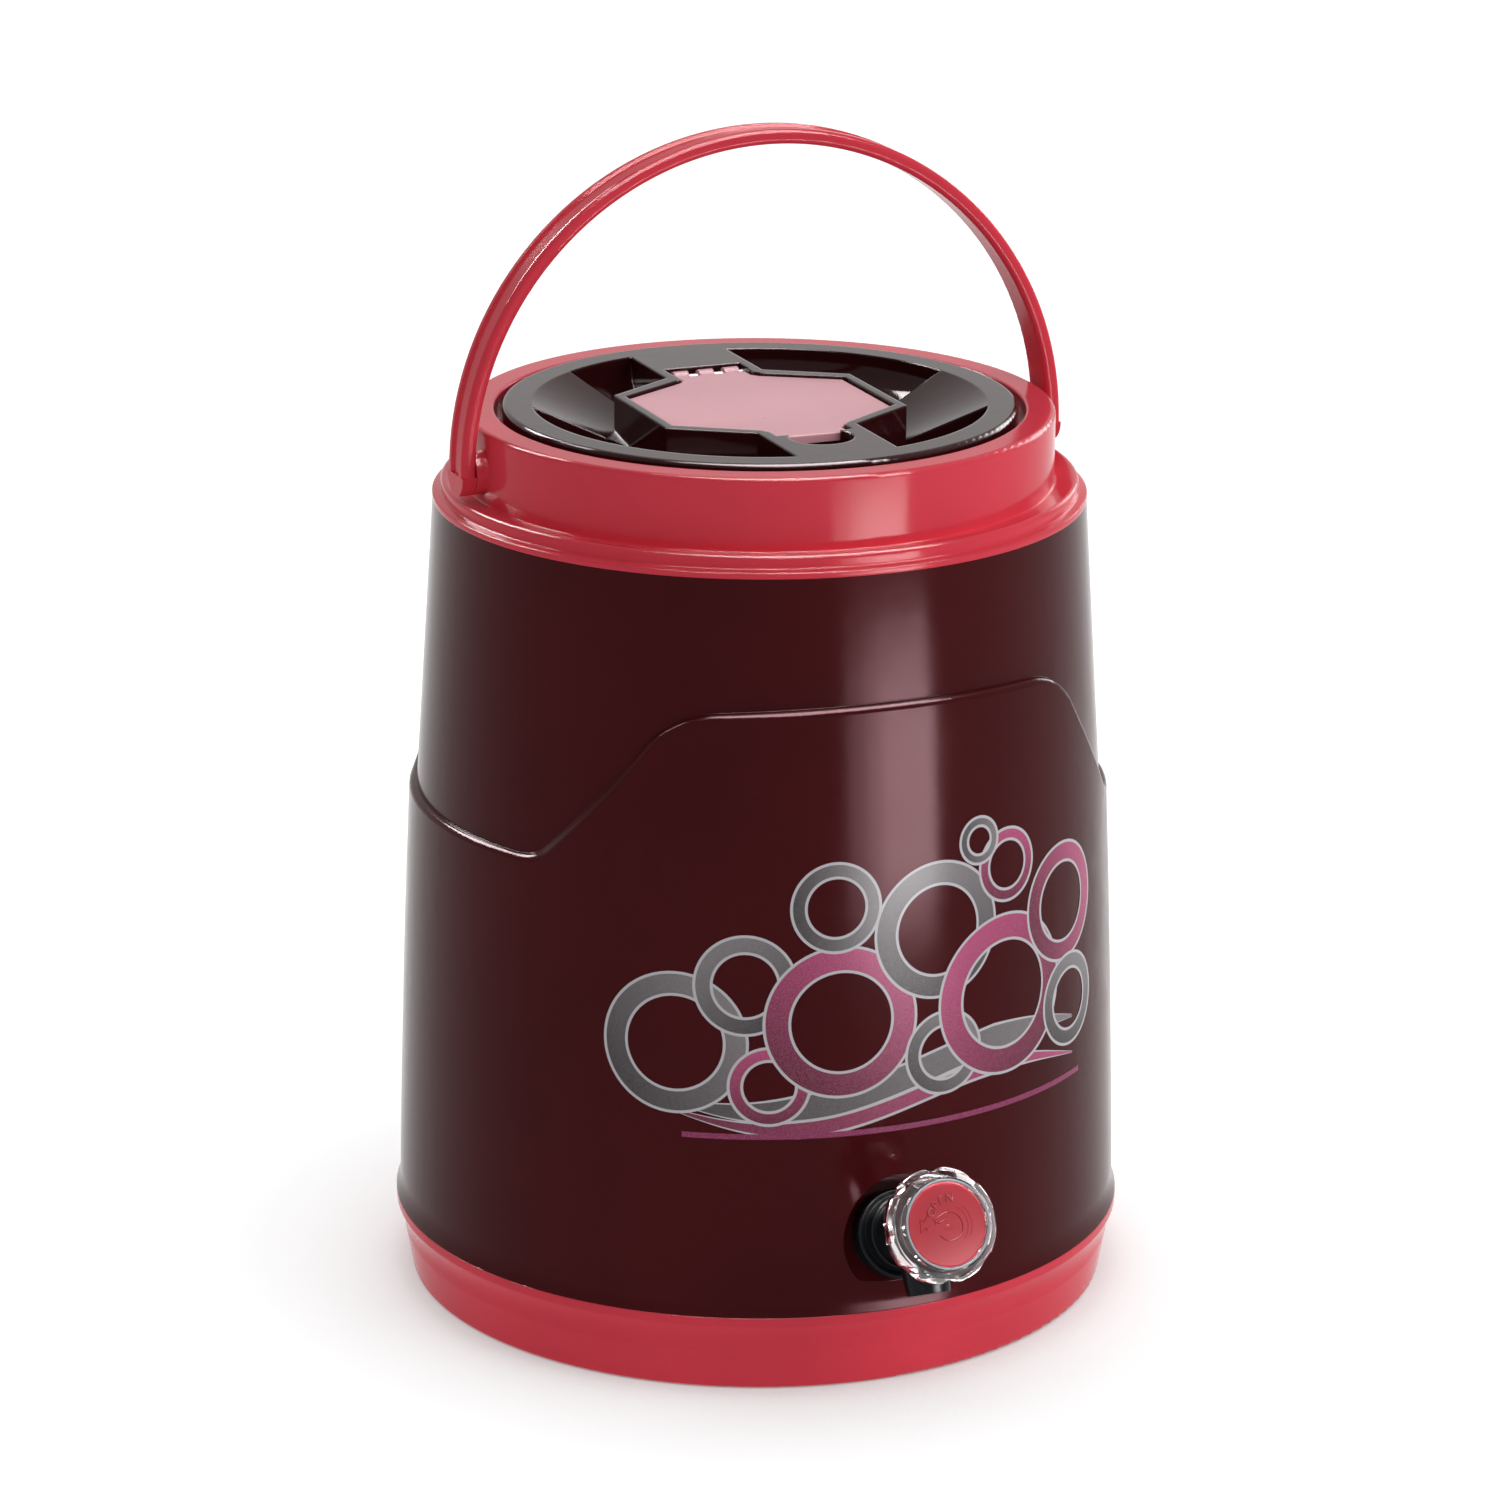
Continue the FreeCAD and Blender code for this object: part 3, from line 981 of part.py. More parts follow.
# Tap body: shank, flange, stepped barrel and spout, with the bores of the valve
def make_tap_body():
    barrel = turned_body("tap_barrel", [
        ("0", "-shank_end"),
        ("shank_radius - 1", "-shank_end"),
        ("shank_radius", "-shank_end + 1"),
        ("shank_radius", "outer_gasket"),
        ("tap_flange_radius - 0.5", "outer_gasket"),
        ("tap_flange_radius", "outer_gasket + 0.5"),
        ("tap_flange_radius", "tap_flange_front - 0.8"),
        ("tap_flange_radius - 0.8", "tap_flange_front"),
        ("tap_step_radius", "tap_flange_front"),
        ("tap_step_radius", "tap_step_front - 0.6"),
        ("tap_step_radius - 0.6", "tap_step_front"),
        ("barrel_radius", "tap_step_front"),
        ("barrel_radius", "barrel_end"),
        ("0", "barrel_end"),
    ])
    on_tap(barrel)
    spout = doc.addObject("Part::Cone", "spout_cone")
    bind(spout, Radius1="spout_end_radius", Radius2="spout_top_radius", Height="spout_reach - 2")
    bore = cylinder("spout_bore", "spout_bore", "spout_reach + 1")
    tilt = "-tap_tilt"
    for piece, below in ((spout, "spout_reach"), (bore, "spout_reach + 1")):
        on_tap(piece, "spout_distance", below)
        place(piece,
              y=f"-seat_distance - spout_distance * cos(tap_tilt * 1 deg) - ({below}) * sin(tap_tilt * 1 deg)",
              z=f"seat_height + spout_distance * sin(tap_tilt * 1 deg) - ({below}) * cos(tap_tilt * 1 deg)",
              axis=(1, 0, 0), angle=tilt)
    inlet = on_tap(cylinder("inlet_bore", "inlet_radius", "shank_end + valve_seat - valve_seat_wall + 1"),
                   "-shank_end - 1")
    seat = on_tap(cylinder("seat_bore", "valve_bore", "valve_seat"), "1")
    chamber = on_tap(cylinder("chamber_bore", "chamber_radius", "barrel_end"), "valve_seat")
    bores = fused("tap_bores", [inlet, seat, chamber, bore])
    node("tap_body", cut("tap_body_cut", fused("tap_solid", [barrel, spout]), bores))


# Tap fittings: gaskets, lock nut, plunger, washer and seal
def make_tap_fittings():
    inner = "shank_radius + shank_gap"
    node("tap_outer_gasket", on_tap(turned_body("outer_gasket_ring", [
        (inner, "gasket_gap"), ("outer_gasket_radius", "gasket_gap"),
        ("outer_gasket_radius", "outer_gasket - gasket_gap"), (inner, "outer_gasket - gasket_gap"),
    ])))
    low, high = "-liner_seat - inner_gasket", "-liner_seat - gasket_gap"
    node("tap_inner_gasket", on_tap(turned_body("inner_gasket_ring", [
        (inner, low), ("inner_gasket_radius", low), ("inner_gasket_radius", high), (inner, high),
    ])))
    hexagon = doc.addObject("Part::Prism", "nut_hexagon")
    hexagon.Polygon = 6
    bind(hexagon, Circumradius="nut_corner_radius", Height="nut_height")
    on_tap(hexagon, "-liner_seat - inner_gasket - gasket_gap - nut_height")
    thread = on_tap(cylinder("nut_thread", "shank_radius + 0.05", "nut_height + 2"),
                    "-liner_seat - inner_gasket - gasket_gap - nut_height - 1")
    node("tap_lock_nut", cut("nut_cut", hexagon, thread))
    washer_low = "valve_seat + washer_gap"
    washer_top = "valve_seat + washer_gap + washer_thickness"
    node("tap_seat_washer", on_tap(turned_body("washer_ring", [
        ("washer_pin_radius + 0.05", washer_low), ("washer_radius", washer_low),
        ("washer_radius", washer_top), ("washer_pin_radius + 0.05", washer_top),
    ])))
    disc = f"{washer_top} + washer_gap / 2"
    piston = "chamber_radius - stem_fit"
    groove_floor = "chamber_radius - 2.1 * ring_section"
    groove_low = "piston_start + piston_length / 2 - 1.1 * ring_section"
    groove_high = "piston_start + piston_length / 2 + 1.1 * ring_section"
    node("tap_stem", on_tap(turned_body("stem", [
        ("0", f"{washer_low} + 0.4"), ("washer_pin_radius", f"{washer_low} + 0.4"),
        ("washer_pin_radius", disc), ("washer_radius + 0.3", disc),
        ("washer_radius + 0.3", f"{disc} + stem_disc"), ("stem_radius", f"{disc} + stem_disc"),
        ("stem_radius", "piston_start"), (piston, "piston_start"), (piston, groove_low),
        (groove_floor, groove_low), (groove_floor, groove_high), (piston, groove_high),
        (piston, "piston_start + piston_length"), ("stem_tip_radius", "piston_start + piston_length"),
        ("stem_tip_radius", "stem_end - 0.5"), ("stem_tip_radius - 0.5", "stem_end"), ("0", "stem_end"),
    ])))
    ring = doc.addObject("Part::Torus", "stem_seal")
    bind(ring, Radius1="chamber_radius - ring_section - 0.05", Radius2="ring_section")
    node("tap_stem_o_ring", on_tap(ring, "piston_start + piston_length / 2"))


# Knob: clear hub and lobed flange with a ring round the cap
def make_knob():
    knob = new_body("knob")
    blank = add_turned(knob, "knob_turned", [
        ("barrel_radius + knob_fit", "knob_rear"),
        ("knob_hub_radius", "knob_rear"),
        ("knob_hub_radius + 0.6", "barrel_end - 0.5"),
        ("knob_radius - 1.6", "barrel_end + 1.7"),
        ("knob_radius", "barrel_end + 4.2"),
        ("knob_radius", "knob_front - 6"),
        ("knob_radius - 1.6", "knob_front - 3"),
        ("knob_rim_radius", "knob_front"),
        ("knob_recess_radius", "knob_front"),
        ("knob_recess_radius", "knob_recess_floor"),
        ("0", "knob_recess_floor"),
        ("0", "knob_recess_floor - 1.7"),
        ("stem_tip_radius + stem_fit", "knob_recess_floor - 1.7"),
        ("stem_tip_radius + stem_fit", "barrel_end + 3.7"),
        ("chamber_radius + 0.4", "barrel_end + 3.7"),
        ("chamber_radius + 0.4", "barrel_end + 0.4"),
        ("barrel_radius + knob_fit", "barrel_end + 0.4"),
    ])
    hollow = knob.newObject("PartDesign::SubtractiveCylinder", "knob_hollow")
    hollow.AttachmentSupport = [(plane_of(knob, "XY_Plane"), "")]
    hollow.MapMode = "FlatFace"
    bind(hollow, Radius="knob_hollow_radius", Height="40")
    hollow.AttachmentOffset = Placement(Vector(0, 0, value("barrel_end - 6")), Rotation())
    hollow.setExpression(".AttachmentOffset.Base.x",
                         bound("knob_radius + knob_hollow_radius - knob_hollow_depth"))
    hollow.setExpression(".AttachmentOffset.Base.z", bound("barrel_end - 6"))
    doc.recompute()
    pattern = knob.newObject("PartDesign::PolarPattern", "knob_hollows")
    pattern.Originals = [hollow]
    pattern.Axis = (plane_of(knob, "Z_Axis"), [""])
    pattern.Angle = 360
    bind(pattern, Occurrences="knob_lobes")
    knob.Tip = pattern
    doc.recompute()
    if pattern.Shape.Volume >= hollow.Shape.Volume or hollow.Shape.Volume >= blank.Shape.Volume:
        raise RuntimeError("the knob's hollows cut nothing")
    node("tap_knob", on_tap(knob))
    low = "knob_recess_floor + cap_gap"
    edge = "knob_recess_radius - cap_gap"
    node("tap_knob_cap", on_tap(turned_body("cap", [
        ("0", low), (edge, low), (edge, f"{low} + cap_height - 0.5"),
        (f"{edge} - 0.5", f"{low} + cap_height"), ("0", f"{low} + cap_height + cap_dome"),
    ], {3: f"(({edge} - 0.5) ^ 2 + cap_dome ^ 2) / (2 * cap_dome)"})))


def check_and_export():
    """Stop on any failed object or bad shape, then write one file for each sub-part."""
    doc.recompute()
    failed = [f"{thing.Label}: {thing.getStatusString()}" for thing in doc.Objects
              if "Invalid" in thing.State or "Error" in thing.State]
    for label, thing in NODES.items():
        shape = thing.Shape
        if shape.isNull() or not shape.isValid() or not shape.Solids:
            failed.append(f"{label} has no valid solid")
    if failed:
        raise RuntimeError("; ".join(failed))
    os.makedirs("parts", exist_ok=True)
    for label, thing in NODES.items():
        thing.Shape.exportStep(f"parts/{label}.step")
        box = thing.Shape.BoundBox
        print(f"{label:26s} solids {len(thing.Shape.Solids)} volume {thing.Shape.Volume:12.1f} "
              f"x {box.XMin:7.1f} {box.XMax:7.1f} y {box.YMin:7.1f} {box.YMax:7.1f} "
              f"z {box.ZMin:7.1f} {box.ZMax:7.1f}")


make_base_cover()
make_base_screws()
make_outer_body()
make_inner_liner()
make_foam()
make_top_collar()
make_handle()
make_pivots()
make_lid_outer_shell()
make_lid_inner_shell()
make_lid_fillings()
make_flap()
make_tap_body()
make_tap_fittings()
make_knob()
check_and_export()
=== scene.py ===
import json
import math

import bmesh
import bpy
from mathutils import Matrix, Vector


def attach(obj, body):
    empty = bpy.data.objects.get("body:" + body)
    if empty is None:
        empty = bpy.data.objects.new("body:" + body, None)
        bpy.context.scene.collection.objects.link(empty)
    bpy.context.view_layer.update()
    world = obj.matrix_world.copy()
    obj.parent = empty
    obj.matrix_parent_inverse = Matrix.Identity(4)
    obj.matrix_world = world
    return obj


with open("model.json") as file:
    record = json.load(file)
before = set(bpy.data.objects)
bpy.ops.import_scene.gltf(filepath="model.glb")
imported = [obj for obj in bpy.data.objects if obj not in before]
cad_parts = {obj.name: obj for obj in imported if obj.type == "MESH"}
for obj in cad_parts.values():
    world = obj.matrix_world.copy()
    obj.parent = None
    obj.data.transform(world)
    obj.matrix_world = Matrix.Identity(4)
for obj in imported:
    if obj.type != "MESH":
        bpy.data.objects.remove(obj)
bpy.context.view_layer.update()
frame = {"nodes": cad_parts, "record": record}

MM = 0.001
scene = bpy.context.scene
scene.view_settings.view_transform = "Standard"

# Sockets of the mix node that carry colours
MIX_ONE, MIX_OTHER, MIX_RESULT = 6, 7, 2


class Nodes:
    """Short way to wire a shader."""

    def __init__(self, tree):
        self.tree = tree
        tree.nodes.clear()

    def add(self, kind, **settings):
        made = self.tree.nodes.new(kind)
        for name, value in settings.items():
            setattr(made, name, value)
        return made

    def put(self, socket, value):
        if isinstance(value, bpy.types.NodeSocket):
            self.tree.links.new(value, socket)
        else:
            socket.default_value = value

    def math(self, operation, *values):
        made = self.add("ShaderNodeMath", operation=operation)
        for socket, value in zip(made.inputs, values):
            self.put(socket, value)
        return made.outputs[0]

    def mix(self, factor, one, other):
        made = self.add("ShaderNodeMix", data_type="RGBA")
        self.put(made.inputs["Factor"], factor)
        self.put(made.inputs[MIX_ONE], one)
        self.put(made.inputs[MIX_OTHER], other)
        return made.outputs[MIX_RESULT]

    def noise(self, place, scale, detail=2.0, roughness=0.5):
        made = self.add("ShaderNodeTexNoise")
        self.put(made.inputs["Vector"], place)
        self.put(made.inputs["Scale"], scale)
        self.put(made.inputs["Detail"], detail)
        self.put(made.inputs["Roughness"], roughness)
        return made.outputs["Fac"]

    def span(self, value, low, high, to_low, to_high):
        made = self.add("ShaderNodeMapRange")
        for socket, number in zip(made.inputs, (value, low, high, to_low, to_high)):
            self.put(socket, number)
        return made.outputs[0]

    def bump(self, height, strength, depth):
        made = self.add("ShaderNodeBump")
        self.put(made.inputs["Height"], height)
        self.put(made.inputs["Strength"], strength)
        self.put(made.inputs["Distance"], depth)
        return made


def new_material(name):
    """Material with its wiring, its principled shader and its object coordinates."""
    made = bpy.data.materials.new(name)
    made.use_nodes = True
    n = Nodes(made.node_tree)
    shader = n.add("ShaderNodeBsdfPrincipled")
    out = n.add("ShaderNodeOutputMaterial")
    n.put(out.inputs["Surface"], shader.outputs[0])
    place = n.add("ShaderNodeTexCoord").outputs["Object"]
    return made, n, shader, place


def shade(color, factor):
    """Colour times a factor, with full alpha."""
    return tuple(min(1.0, c * factor) for c in color[:3]) + (1.0,)


# Moulded plastic: waves per metre of its noises, depths in metres, and how much its gloss varies
CLOUD_SCALE, HAZE_SCALE, PEEL_SCALE, GRAIN_SCALE = 14.0, 60.0, 160.0, 2600.0
PEEL_DEPTH, GRAIN_DEPTH = 0.002, 0.0004
ROUGH_LEAST, ROUGH_SPREAD = 0.02, 0.03
# Values of a noise that are stretched over the whole range of a look
NOISE_MIDDLE, HAZE_MIDDLE = (0.3, 0.7), (0.25, 0.75)
EDGE_SAMPLES = 6
# How far red, green and blue light wander under a soft surface, and the depth in metres
SOFT_RADIUS, SOFT_DEPTH = (0.6, 0.25, 0.2), 0.004
PLAIN_GLOSS = (1.0, 1.0, 1.0)


def moulded(name, color, rough=0.2, spec=0.5, grain=0.02, peel=0.015, cloud=0.06, soft=0.0, edge=0.0,
            gloss=PLAIN_GLOSS):
    """Moulded plastic: faint clouds of colour, uneven gloss, orange peel, fine grain, softened edges."""
    made, n, shader, place = new_material(name)
    clouds = n.span(n.noise(place, CLOUD_SCALE, detail=3.0), *NOISE_MIDDLE, 0.0, 1.0)
    n.put(shader.inputs["Base Color"], n.mix(clouds, shade(color, 1 - cloud), shade(color, 1 + cloud)))
    haze = n.noise(place, HAZE_SCALE, detail=4.0, roughness=0.6)
    smooth = max(ROUGH_LEAST, rough - ROUGH_SPREAD)
    n.put(shader.inputs["Roughness"], n.span(haze, *HAZE_MIDDLE, smooth, rough + ROUGH_SPREAD))
    shader.inputs["Specular IOR Level"].default_value = spec
    shader.inputs["Specular Tint"].default_value = (*gloss, 1.0)
    if soft:
        shader.inputs["Subsurface Weight"].default_value = soft
        shader.inputs["Subsurface Radius"].default_value = SOFT_RADIUS
        shader.inputs["Subsurface Scale"].default_value = SOFT_DEPTH
    peel_bump = n.bump(n.noise(place, PEEL_SCALE), peel, PEEL_DEPTH)
    if edge:
        rounding = n.add("ShaderNodeBevel", samples=EDGE_SAMPLES)
        rounding.inputs["Radius"].default_value = edge * MM
        n.put(peel_bump.inputs["Normal"], rounding.outputs[0])
    grain_bump = n.bump(n.noise(place, GRAIN_SCALE), grain, GRAIN_DEPTH)
    n.put(grain_bump.inputs["Normal"], peel_bump.outputs[0])
    n.put(shader.inputs["Normal"], grain_bump.outputs[0])
    return made


STEEL_LINE_SCALE = 3000.0
STEEL_DARKER, STEEL_LIGHTER = 0.85, 1.1
STEEL_SMOOTHER, STEEL_ROUGHER = 0.05, 0.08


def steel(name, color, rough):
    """Turned steel with fine lines."""
    made, n, shader, place = new_material(name)
    lines = n.noise(place, STEEL_LINE_SCALE)
    n.put(shader.inputs["Base Color"], n.mix(lines, shade(color, STEEL_DARKER), shade(color, STEEL_LIGHTER)))
    gloss = n.span(lines, 0.0, 1.0, rough - STEEL_SMOOTHER, rough + STEEL_ROUGHER)
    n.put(shader.inputs["Roughness"], gloss)
    shader.inputs["Metallic"].default_value = 1.0
    return made


# Pink tint of the clear plastic: painted light, the coral cap's colour seen through the knob
CLEAR_PAINTED_PINK_DEEP, CLEAR_PAINTED_PINK_LIGHT = (0.93, 0.86, 0.88, 1), (1.0, 0.96, 0.97, 1)
CLEAR_IOR, CLEAR_GLOSS, CLEAR_ROUGH = 1.49, 0.08, (0.01, 0.05)
CLEAR_TINT_SCALE, CLEAR_HAZE_SCALE, CLEAR_WAVE_SCALE = 40.0, 300.0, 260.0
CLEAR_WAVE_STRENGTH, CLEAR_WAVE_DEPTH = 0.08, 0.0008


def clear_plastic(name):
    """Clear hard plastic with slight waviness, tinted pink as painted light from the coral cap."""
    made, n, shader, place = new_material(name)
    n.put(shader.inputs["Base Color"], n.mix(n.noise(place, CLEAR_TINT_SCALE), CLEAR_PAINTED_PINK_DEEP, CLEAR_PAINTED_PINK_LIGHT))
    haze = n.noise(place, CLEAR_HAZE_SCALE)
    n.put(shader.inputs["Roughness"], n.span(haze, *NOISE_MIDDLE, *CLEAR_ROUGH))
    shader.inputs["Transmission Weight"].default_value = 1.0
    shader.inputs["Specular IOR Level"].default_value = CLEAR_GLOSS
    shader.inputs["IOR"].default_value = CLEAR_IOR
    waves = n.bump(n.noise(place, CLEAR_WAVE_SCALE), CLEAR_WAVE_STRENGTH, CLEAR_WAVE_DEPTH)
    n.put(shader.inputs["Normal"], waves.outputs[0])
    return made


CORAL = (0.560, 0.040, 0.062)
HANDLE_RED = (0.540, 0.035, 0.055)
CAP_RED = (0.450, 0.045, 0.060)
# Darker red of the cap's raised marks: painted shade along the marks
MARK_PAINTED_SHADE_RED = (0.360, 0.026, 0.040)
MAROON = (0.046, 0.0040, 0.0048)
MAROON_GLOSS = (1.0, 0.62, 0.68)
LID_MAROON = (0.026, 0.0036, 0.0044)
LID_GLOSS = (1.0, 0.86, 0.88)
PALE_PINK = (0.640, 0.330, 0.370)
# Pale bluish grey of the knob's lip: partly a painted highlight of the clear rim
LIP_GREY_AND_PAINTED_SHEEN = (0.34, 0.37, 0.41)
LID_INNER_WHITE = (0.72, 0.70, 0.66)
TANK_WHITE = (0.76, 0.75, 0.72)
STEM_WHITE = (0.68, 0.67, 0.64)
FOAM_YELLOW = (0.80, 0.74, 0.56)
PIN_STEEL = (0.05, 0.045, 0.045)
SCREW_STEEL = (0.52, 0.52, 0.53)
SILICONE = (0.72, 0.68, 0.66)
RUBBER_BLACK = (0.015, 0.015, 0.016)
TAP_BLACK = (0.004, 0.005, 0.006)
NUT_BLACK = (0.02, 0.02, 0.02)

MATERIALS = {
    "coral_shell": moulded("coral_shell_plastic", CORAL, rough=0.13, spec=0.065, soft=0.06, edge=1.2),
    "coral_handle": moulded("coral_handle_plastic", HANDLE_RED, rough=0.14, spec=0.045, grain=0.0, peel=0.0,
                            soft=0.05),
    "maroon_shell": moulded("maroon_shell_plastic", MAROON, rough=0.15, spec=0.065, cloud=0.1, edge=0.4,
                            gloss=MAROON_GLOSS),
    "maroon_lid": moulded("maroon_lid_plastic", LID_MAROON, rough=0.07, spec=0.12, cloud=0.1, edge=1.3,
                          gloss=LID_GLOSS),
    "lid_inner": moulded("lid_inner_plastic", LID_INNER_WHITE, rough=0.4),
    "tank_white": moulded("tank_plastic", TANK_WHITE, rough=0.35),
    "foam": moulded("foam_fill", FOAM_YELLOW, rough=0.9, grain=0.6, peel=0.4, cloud=0.12),
    "flap_pink": moulded("flap_plastic", PALE_PINK, rough=0.3, spec=0.05, soft=0.2, edge=0.4),
    "pin_steel": steel("pin_steel_metal", PIN_STEEL, rough=0.35),
    "screw_steel": steel("screw_steel_metal", SCREW_STEEL, rough=0.35),
    "seal_clear": moulded("seal_silicone", SILICONE, rough=0.5, soft=0.1),
    "seal_black": moulded("seal_rubber", RUBBER_BLACK, rough=0.6, grain=0.1),
    "tap_black": moulded("tap_plastic", TAP_BLACK, rough=0.22, spec=0.10, edge=0.5),
    "nut_black": moulded("nut_plastic", NUT_BLACK, rough=0.5),
    "stem_white": moulded("stem_plastic", STEM_WHITE, rough=0.4),
    "knob_clear": clear_plastic("knob_clear_plastic"),
    "cap_coral": moulded("cap_plastic", CAP_RED, rough=0.25, spec=0.05, soft=0.05, edge=0.3),
}

slots = {part["node"]: part["material_slot"] for part in frame["record"]["subparts"]}
for node_name, node in frame["nodes"].items():
    node.data.materials.clear()
    node.data.materials.append(MATERIALS[slots[node_name]])


def mesh_of(name, form):
    """Mesh made from a form, which is then freed."""
    mesh = bpy.data.meshes.new(name)
    form.to_mesh(mesh)
    form.free()
    return mesh


def placed(name, data):
    """Object in the scene."""
    thing = bpy.data.objects.new(name, data)
    scene.collection.objects.link(thing)
    return thing


def add_piece(name, mesh, material, body):
    """Piece of the part that rides on a body."""
    piece = placed(name, mesh)
    piece.data.materials.append(material)
    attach(piece, body)


# Printed film on the front of the body, in millimetres across the front and up from the ground.
# The lower wall runs from its foot to the step, each given as height and radius, and swells between.
WALL_FOOT, WALL_STEP, WALL_SWELL = (41.0, 141.3), (265.0, 131.9), 1.1
FILM_LEFT, FILM_RIGHT = -114.0, 116.0
FILM_LOW, FILM_HIGH = 98.0, 228.0
FILM_LIFT = 0.12
FILM_COLUMNS, FILM_ROWS = 92, 52
# Height at which the print has its true width
FILM_LEVEL = 160.0
FILM_GLOSS, FILM_ROUGH = 0.10, (0.22, 0.32)

GREY_DARK, GREY_LIGHT = (0.045, 0.038, 0.040, 1), (0.17, 0.155, 0.16, 1)
PINK_DARK, PINK_LIGHT = (0.115, 0.004, 0.030, 1), (0.36, 0.045, 0.135, 1)
OUTLINE = (0.42, 0.41, 0.43, 1)
UNDERLINE_PINK = (0.20, 0.012, 0.075, 1)
SPECKLE_GREY = (0.7, 0.66, 0.68, 1)
UNPRINTED = (0.2, 0.02, 0.06, 1)
OUTLINE_HALF = 0.55
PRINT_BLUR = 0.12
# Metal speckle: its scale, the values of its noise that show, and how much of it shows at most
SPECKLE_SCALE, SPECKLE_SHOWN, SPECKLE_MOST = 5200.0, (0.45, 0.75), 0.18

# Place across and up, outer radius, band width, dark and light colour, direction of the gradient
RINGS = [
    (-84, 138, 27, 8.5, GREY_DARK, GREY_LIGHT, 40),
    (-49, 122, 15, 5.0, PINK_DARK, PINK_LIGHT, 90),
    (-58, 161, 19, 6.5, GREY_DARK, GREY_LIGHT, 120),
    (-22, 146, 29, 9.5, PINK_DARK, PINK_LIGHT, 60),
    (-24, 190, 17, 5.5, GREY_DARK, GREY_LIGHT, 10),
    (17, 177, 26, 8.5, GREY_DARK, GREY_LIGHT, 100),
    (19, 129, 16, 5.5, GREY_DARK, GREY_LIGHT, 30),
    (48, 146, 31, 10.0, PINK_DARK, PINK_LIGHT, 130),
    (50, 196, 14, 4.5, PINK_DARK, PINK_LIGHT, 80),
    (84, 173, 23, 7.5, PINK_DARK, PINK_LIGHT, 20),
    (88, 133, 18, 6.0, GREY_DARK, GREY_LIGHT, 70),
    (36, 208, 9, 3.5, GREY_DARK, GREY_LIGHT, 0),
]
# Share of a ring's radius over which its colour runs from dark to light
RING_FADE = 0.9

# Middle height, swell, length of the swell, half width, dark and light colour
WAVES = [
    (121.0, 9.0, 34.0, 5.5, GREY_DARK, GREY_LIGHT),
    (112.0, 7.0, 27.0, 3.2, PINK_DARK, PINK_LIGHT),
]
# Each wave is full up to a distance from its middle, then narrows to a share of its width
WAVE_MIDDLE, WAVE_FULL, WAVE_NARROW, WAVE_TIP = 2.0, 40.0, 90.0, 0.06
WAVE_HALF_LENGTH, WAVE_END_BLUR, WAVE_FADE = 88.0, 0.3, 90.0

UNDERLINE_LEVEL, UNDERLINE_HALF = 102.5, 1.1
UNDERLINE_MIDDLE, UNDERLINE_HALF_LENGTH, UNDERLINE_END_BLUR = 7.0, 88.0, 0.2


def wall_radius(height):
    """Radius of the lower wall at a height."""
    share = (height - WALL_FOOT[0]) / (WALL_STEP[0] - WALL_FOOT[0])
    swell = WALL_SWELL * (1 - (2 * share - 1) ** 2)
    return WALL_FOOT[1] + share * (WALL_STEP[1] - WALL_FOOT[1]) + swell


def make_film():
    """Curved sheet a little outside the wall, with a map that runs from 0 to 1 across and up."""
    grid = bmesh.new()
    layer = grid.loops.layers.uv.new("print")
    points = []
    for j in range(FILM_ROWS + 1):
        z = FILM_LOW + (FILM_HIGH - FILM_LOW) * j / FILM_ROWS
        radius = wall_radius(z) + FILM_LIFT
        row = []
        for i in range(FILM_COLUMNS + 1):
            u = FILM_LEFT + (FILM_RIGHT - FILM_LEFT) * i / FILM_COLUMNS
            turn = u / wall_radius(FILM_LEVEL)
            place = (radius * math.sin(turn) * MM, -radius * math.cos(turn) * MM, z * MM)
            row.append(grid.verts.new(place))
        points.append(row)
    for j in range(FILM_ROWS):
        for i in range(FILM_COLUMNS):
            corners = ((i, j), (i + 1, j), (i + 1, j + 1), (i, j + 1))
            face = grid.faces.new([points[b][a] for a, b in corners])
            face.smooth = True
            for loop, (a, b) in zip(face.loops, corners):
                loop[layer].uv = (a / FILM_COLUMNS, b / FILM_ROWS)
    return mesh_of("body_graphic", grid)


def inside(n, distance, half, blur=PRINT_BLUR):
    """Mask of what lies within a half width of a line."""
    return n.span(n.math("ABSOLUTE", distance), half - blur, half + blur, 1.0, 0.0)


def laid(n, under, mask, paint):
    """Colour and cover of the print with one more paint on it."""
    color, cover = under
    return n.mix(mask, color, paint), n.math("MAXIMUM", cover, mask)


def print_waves(n, u, v, under):
    """Two waves, narrowed towards both ends."""
    across = n.math("ADD", u, -WAVE_MIDDLE)
    taper = n.span(n.math("ABSOLUTE", across), WAVE_FULL, WAVE_NARROW, 1.0, WAVE_TIP)
    ends = inside(n, across, WAVE_HALF_LENGTH, WAVE_END_BLUR)
    for level, swell, length, half, dark, light in WAVES:
        wave = n.math("MULTIPLY_ADD", n.math("SINE", n.math("DIVIDE", u, length)), swell, level)
        gap = n.math("DIVIDE", n.math("SUBTRACT", v, wave), taper)
        paint = n.mix(n.span(u, -WAVE_FADE, WAVE_FADE, 0.0, 1.0), dark, light)
        for reach, layer in ((half + OUTLINE_HALF, OUTLINE), (half - OUTLINE_HALF, paint)):
            under = laid(n, under, n.math("MULTIPLY", inside(n, gap, reach), ends), layer)
    return under


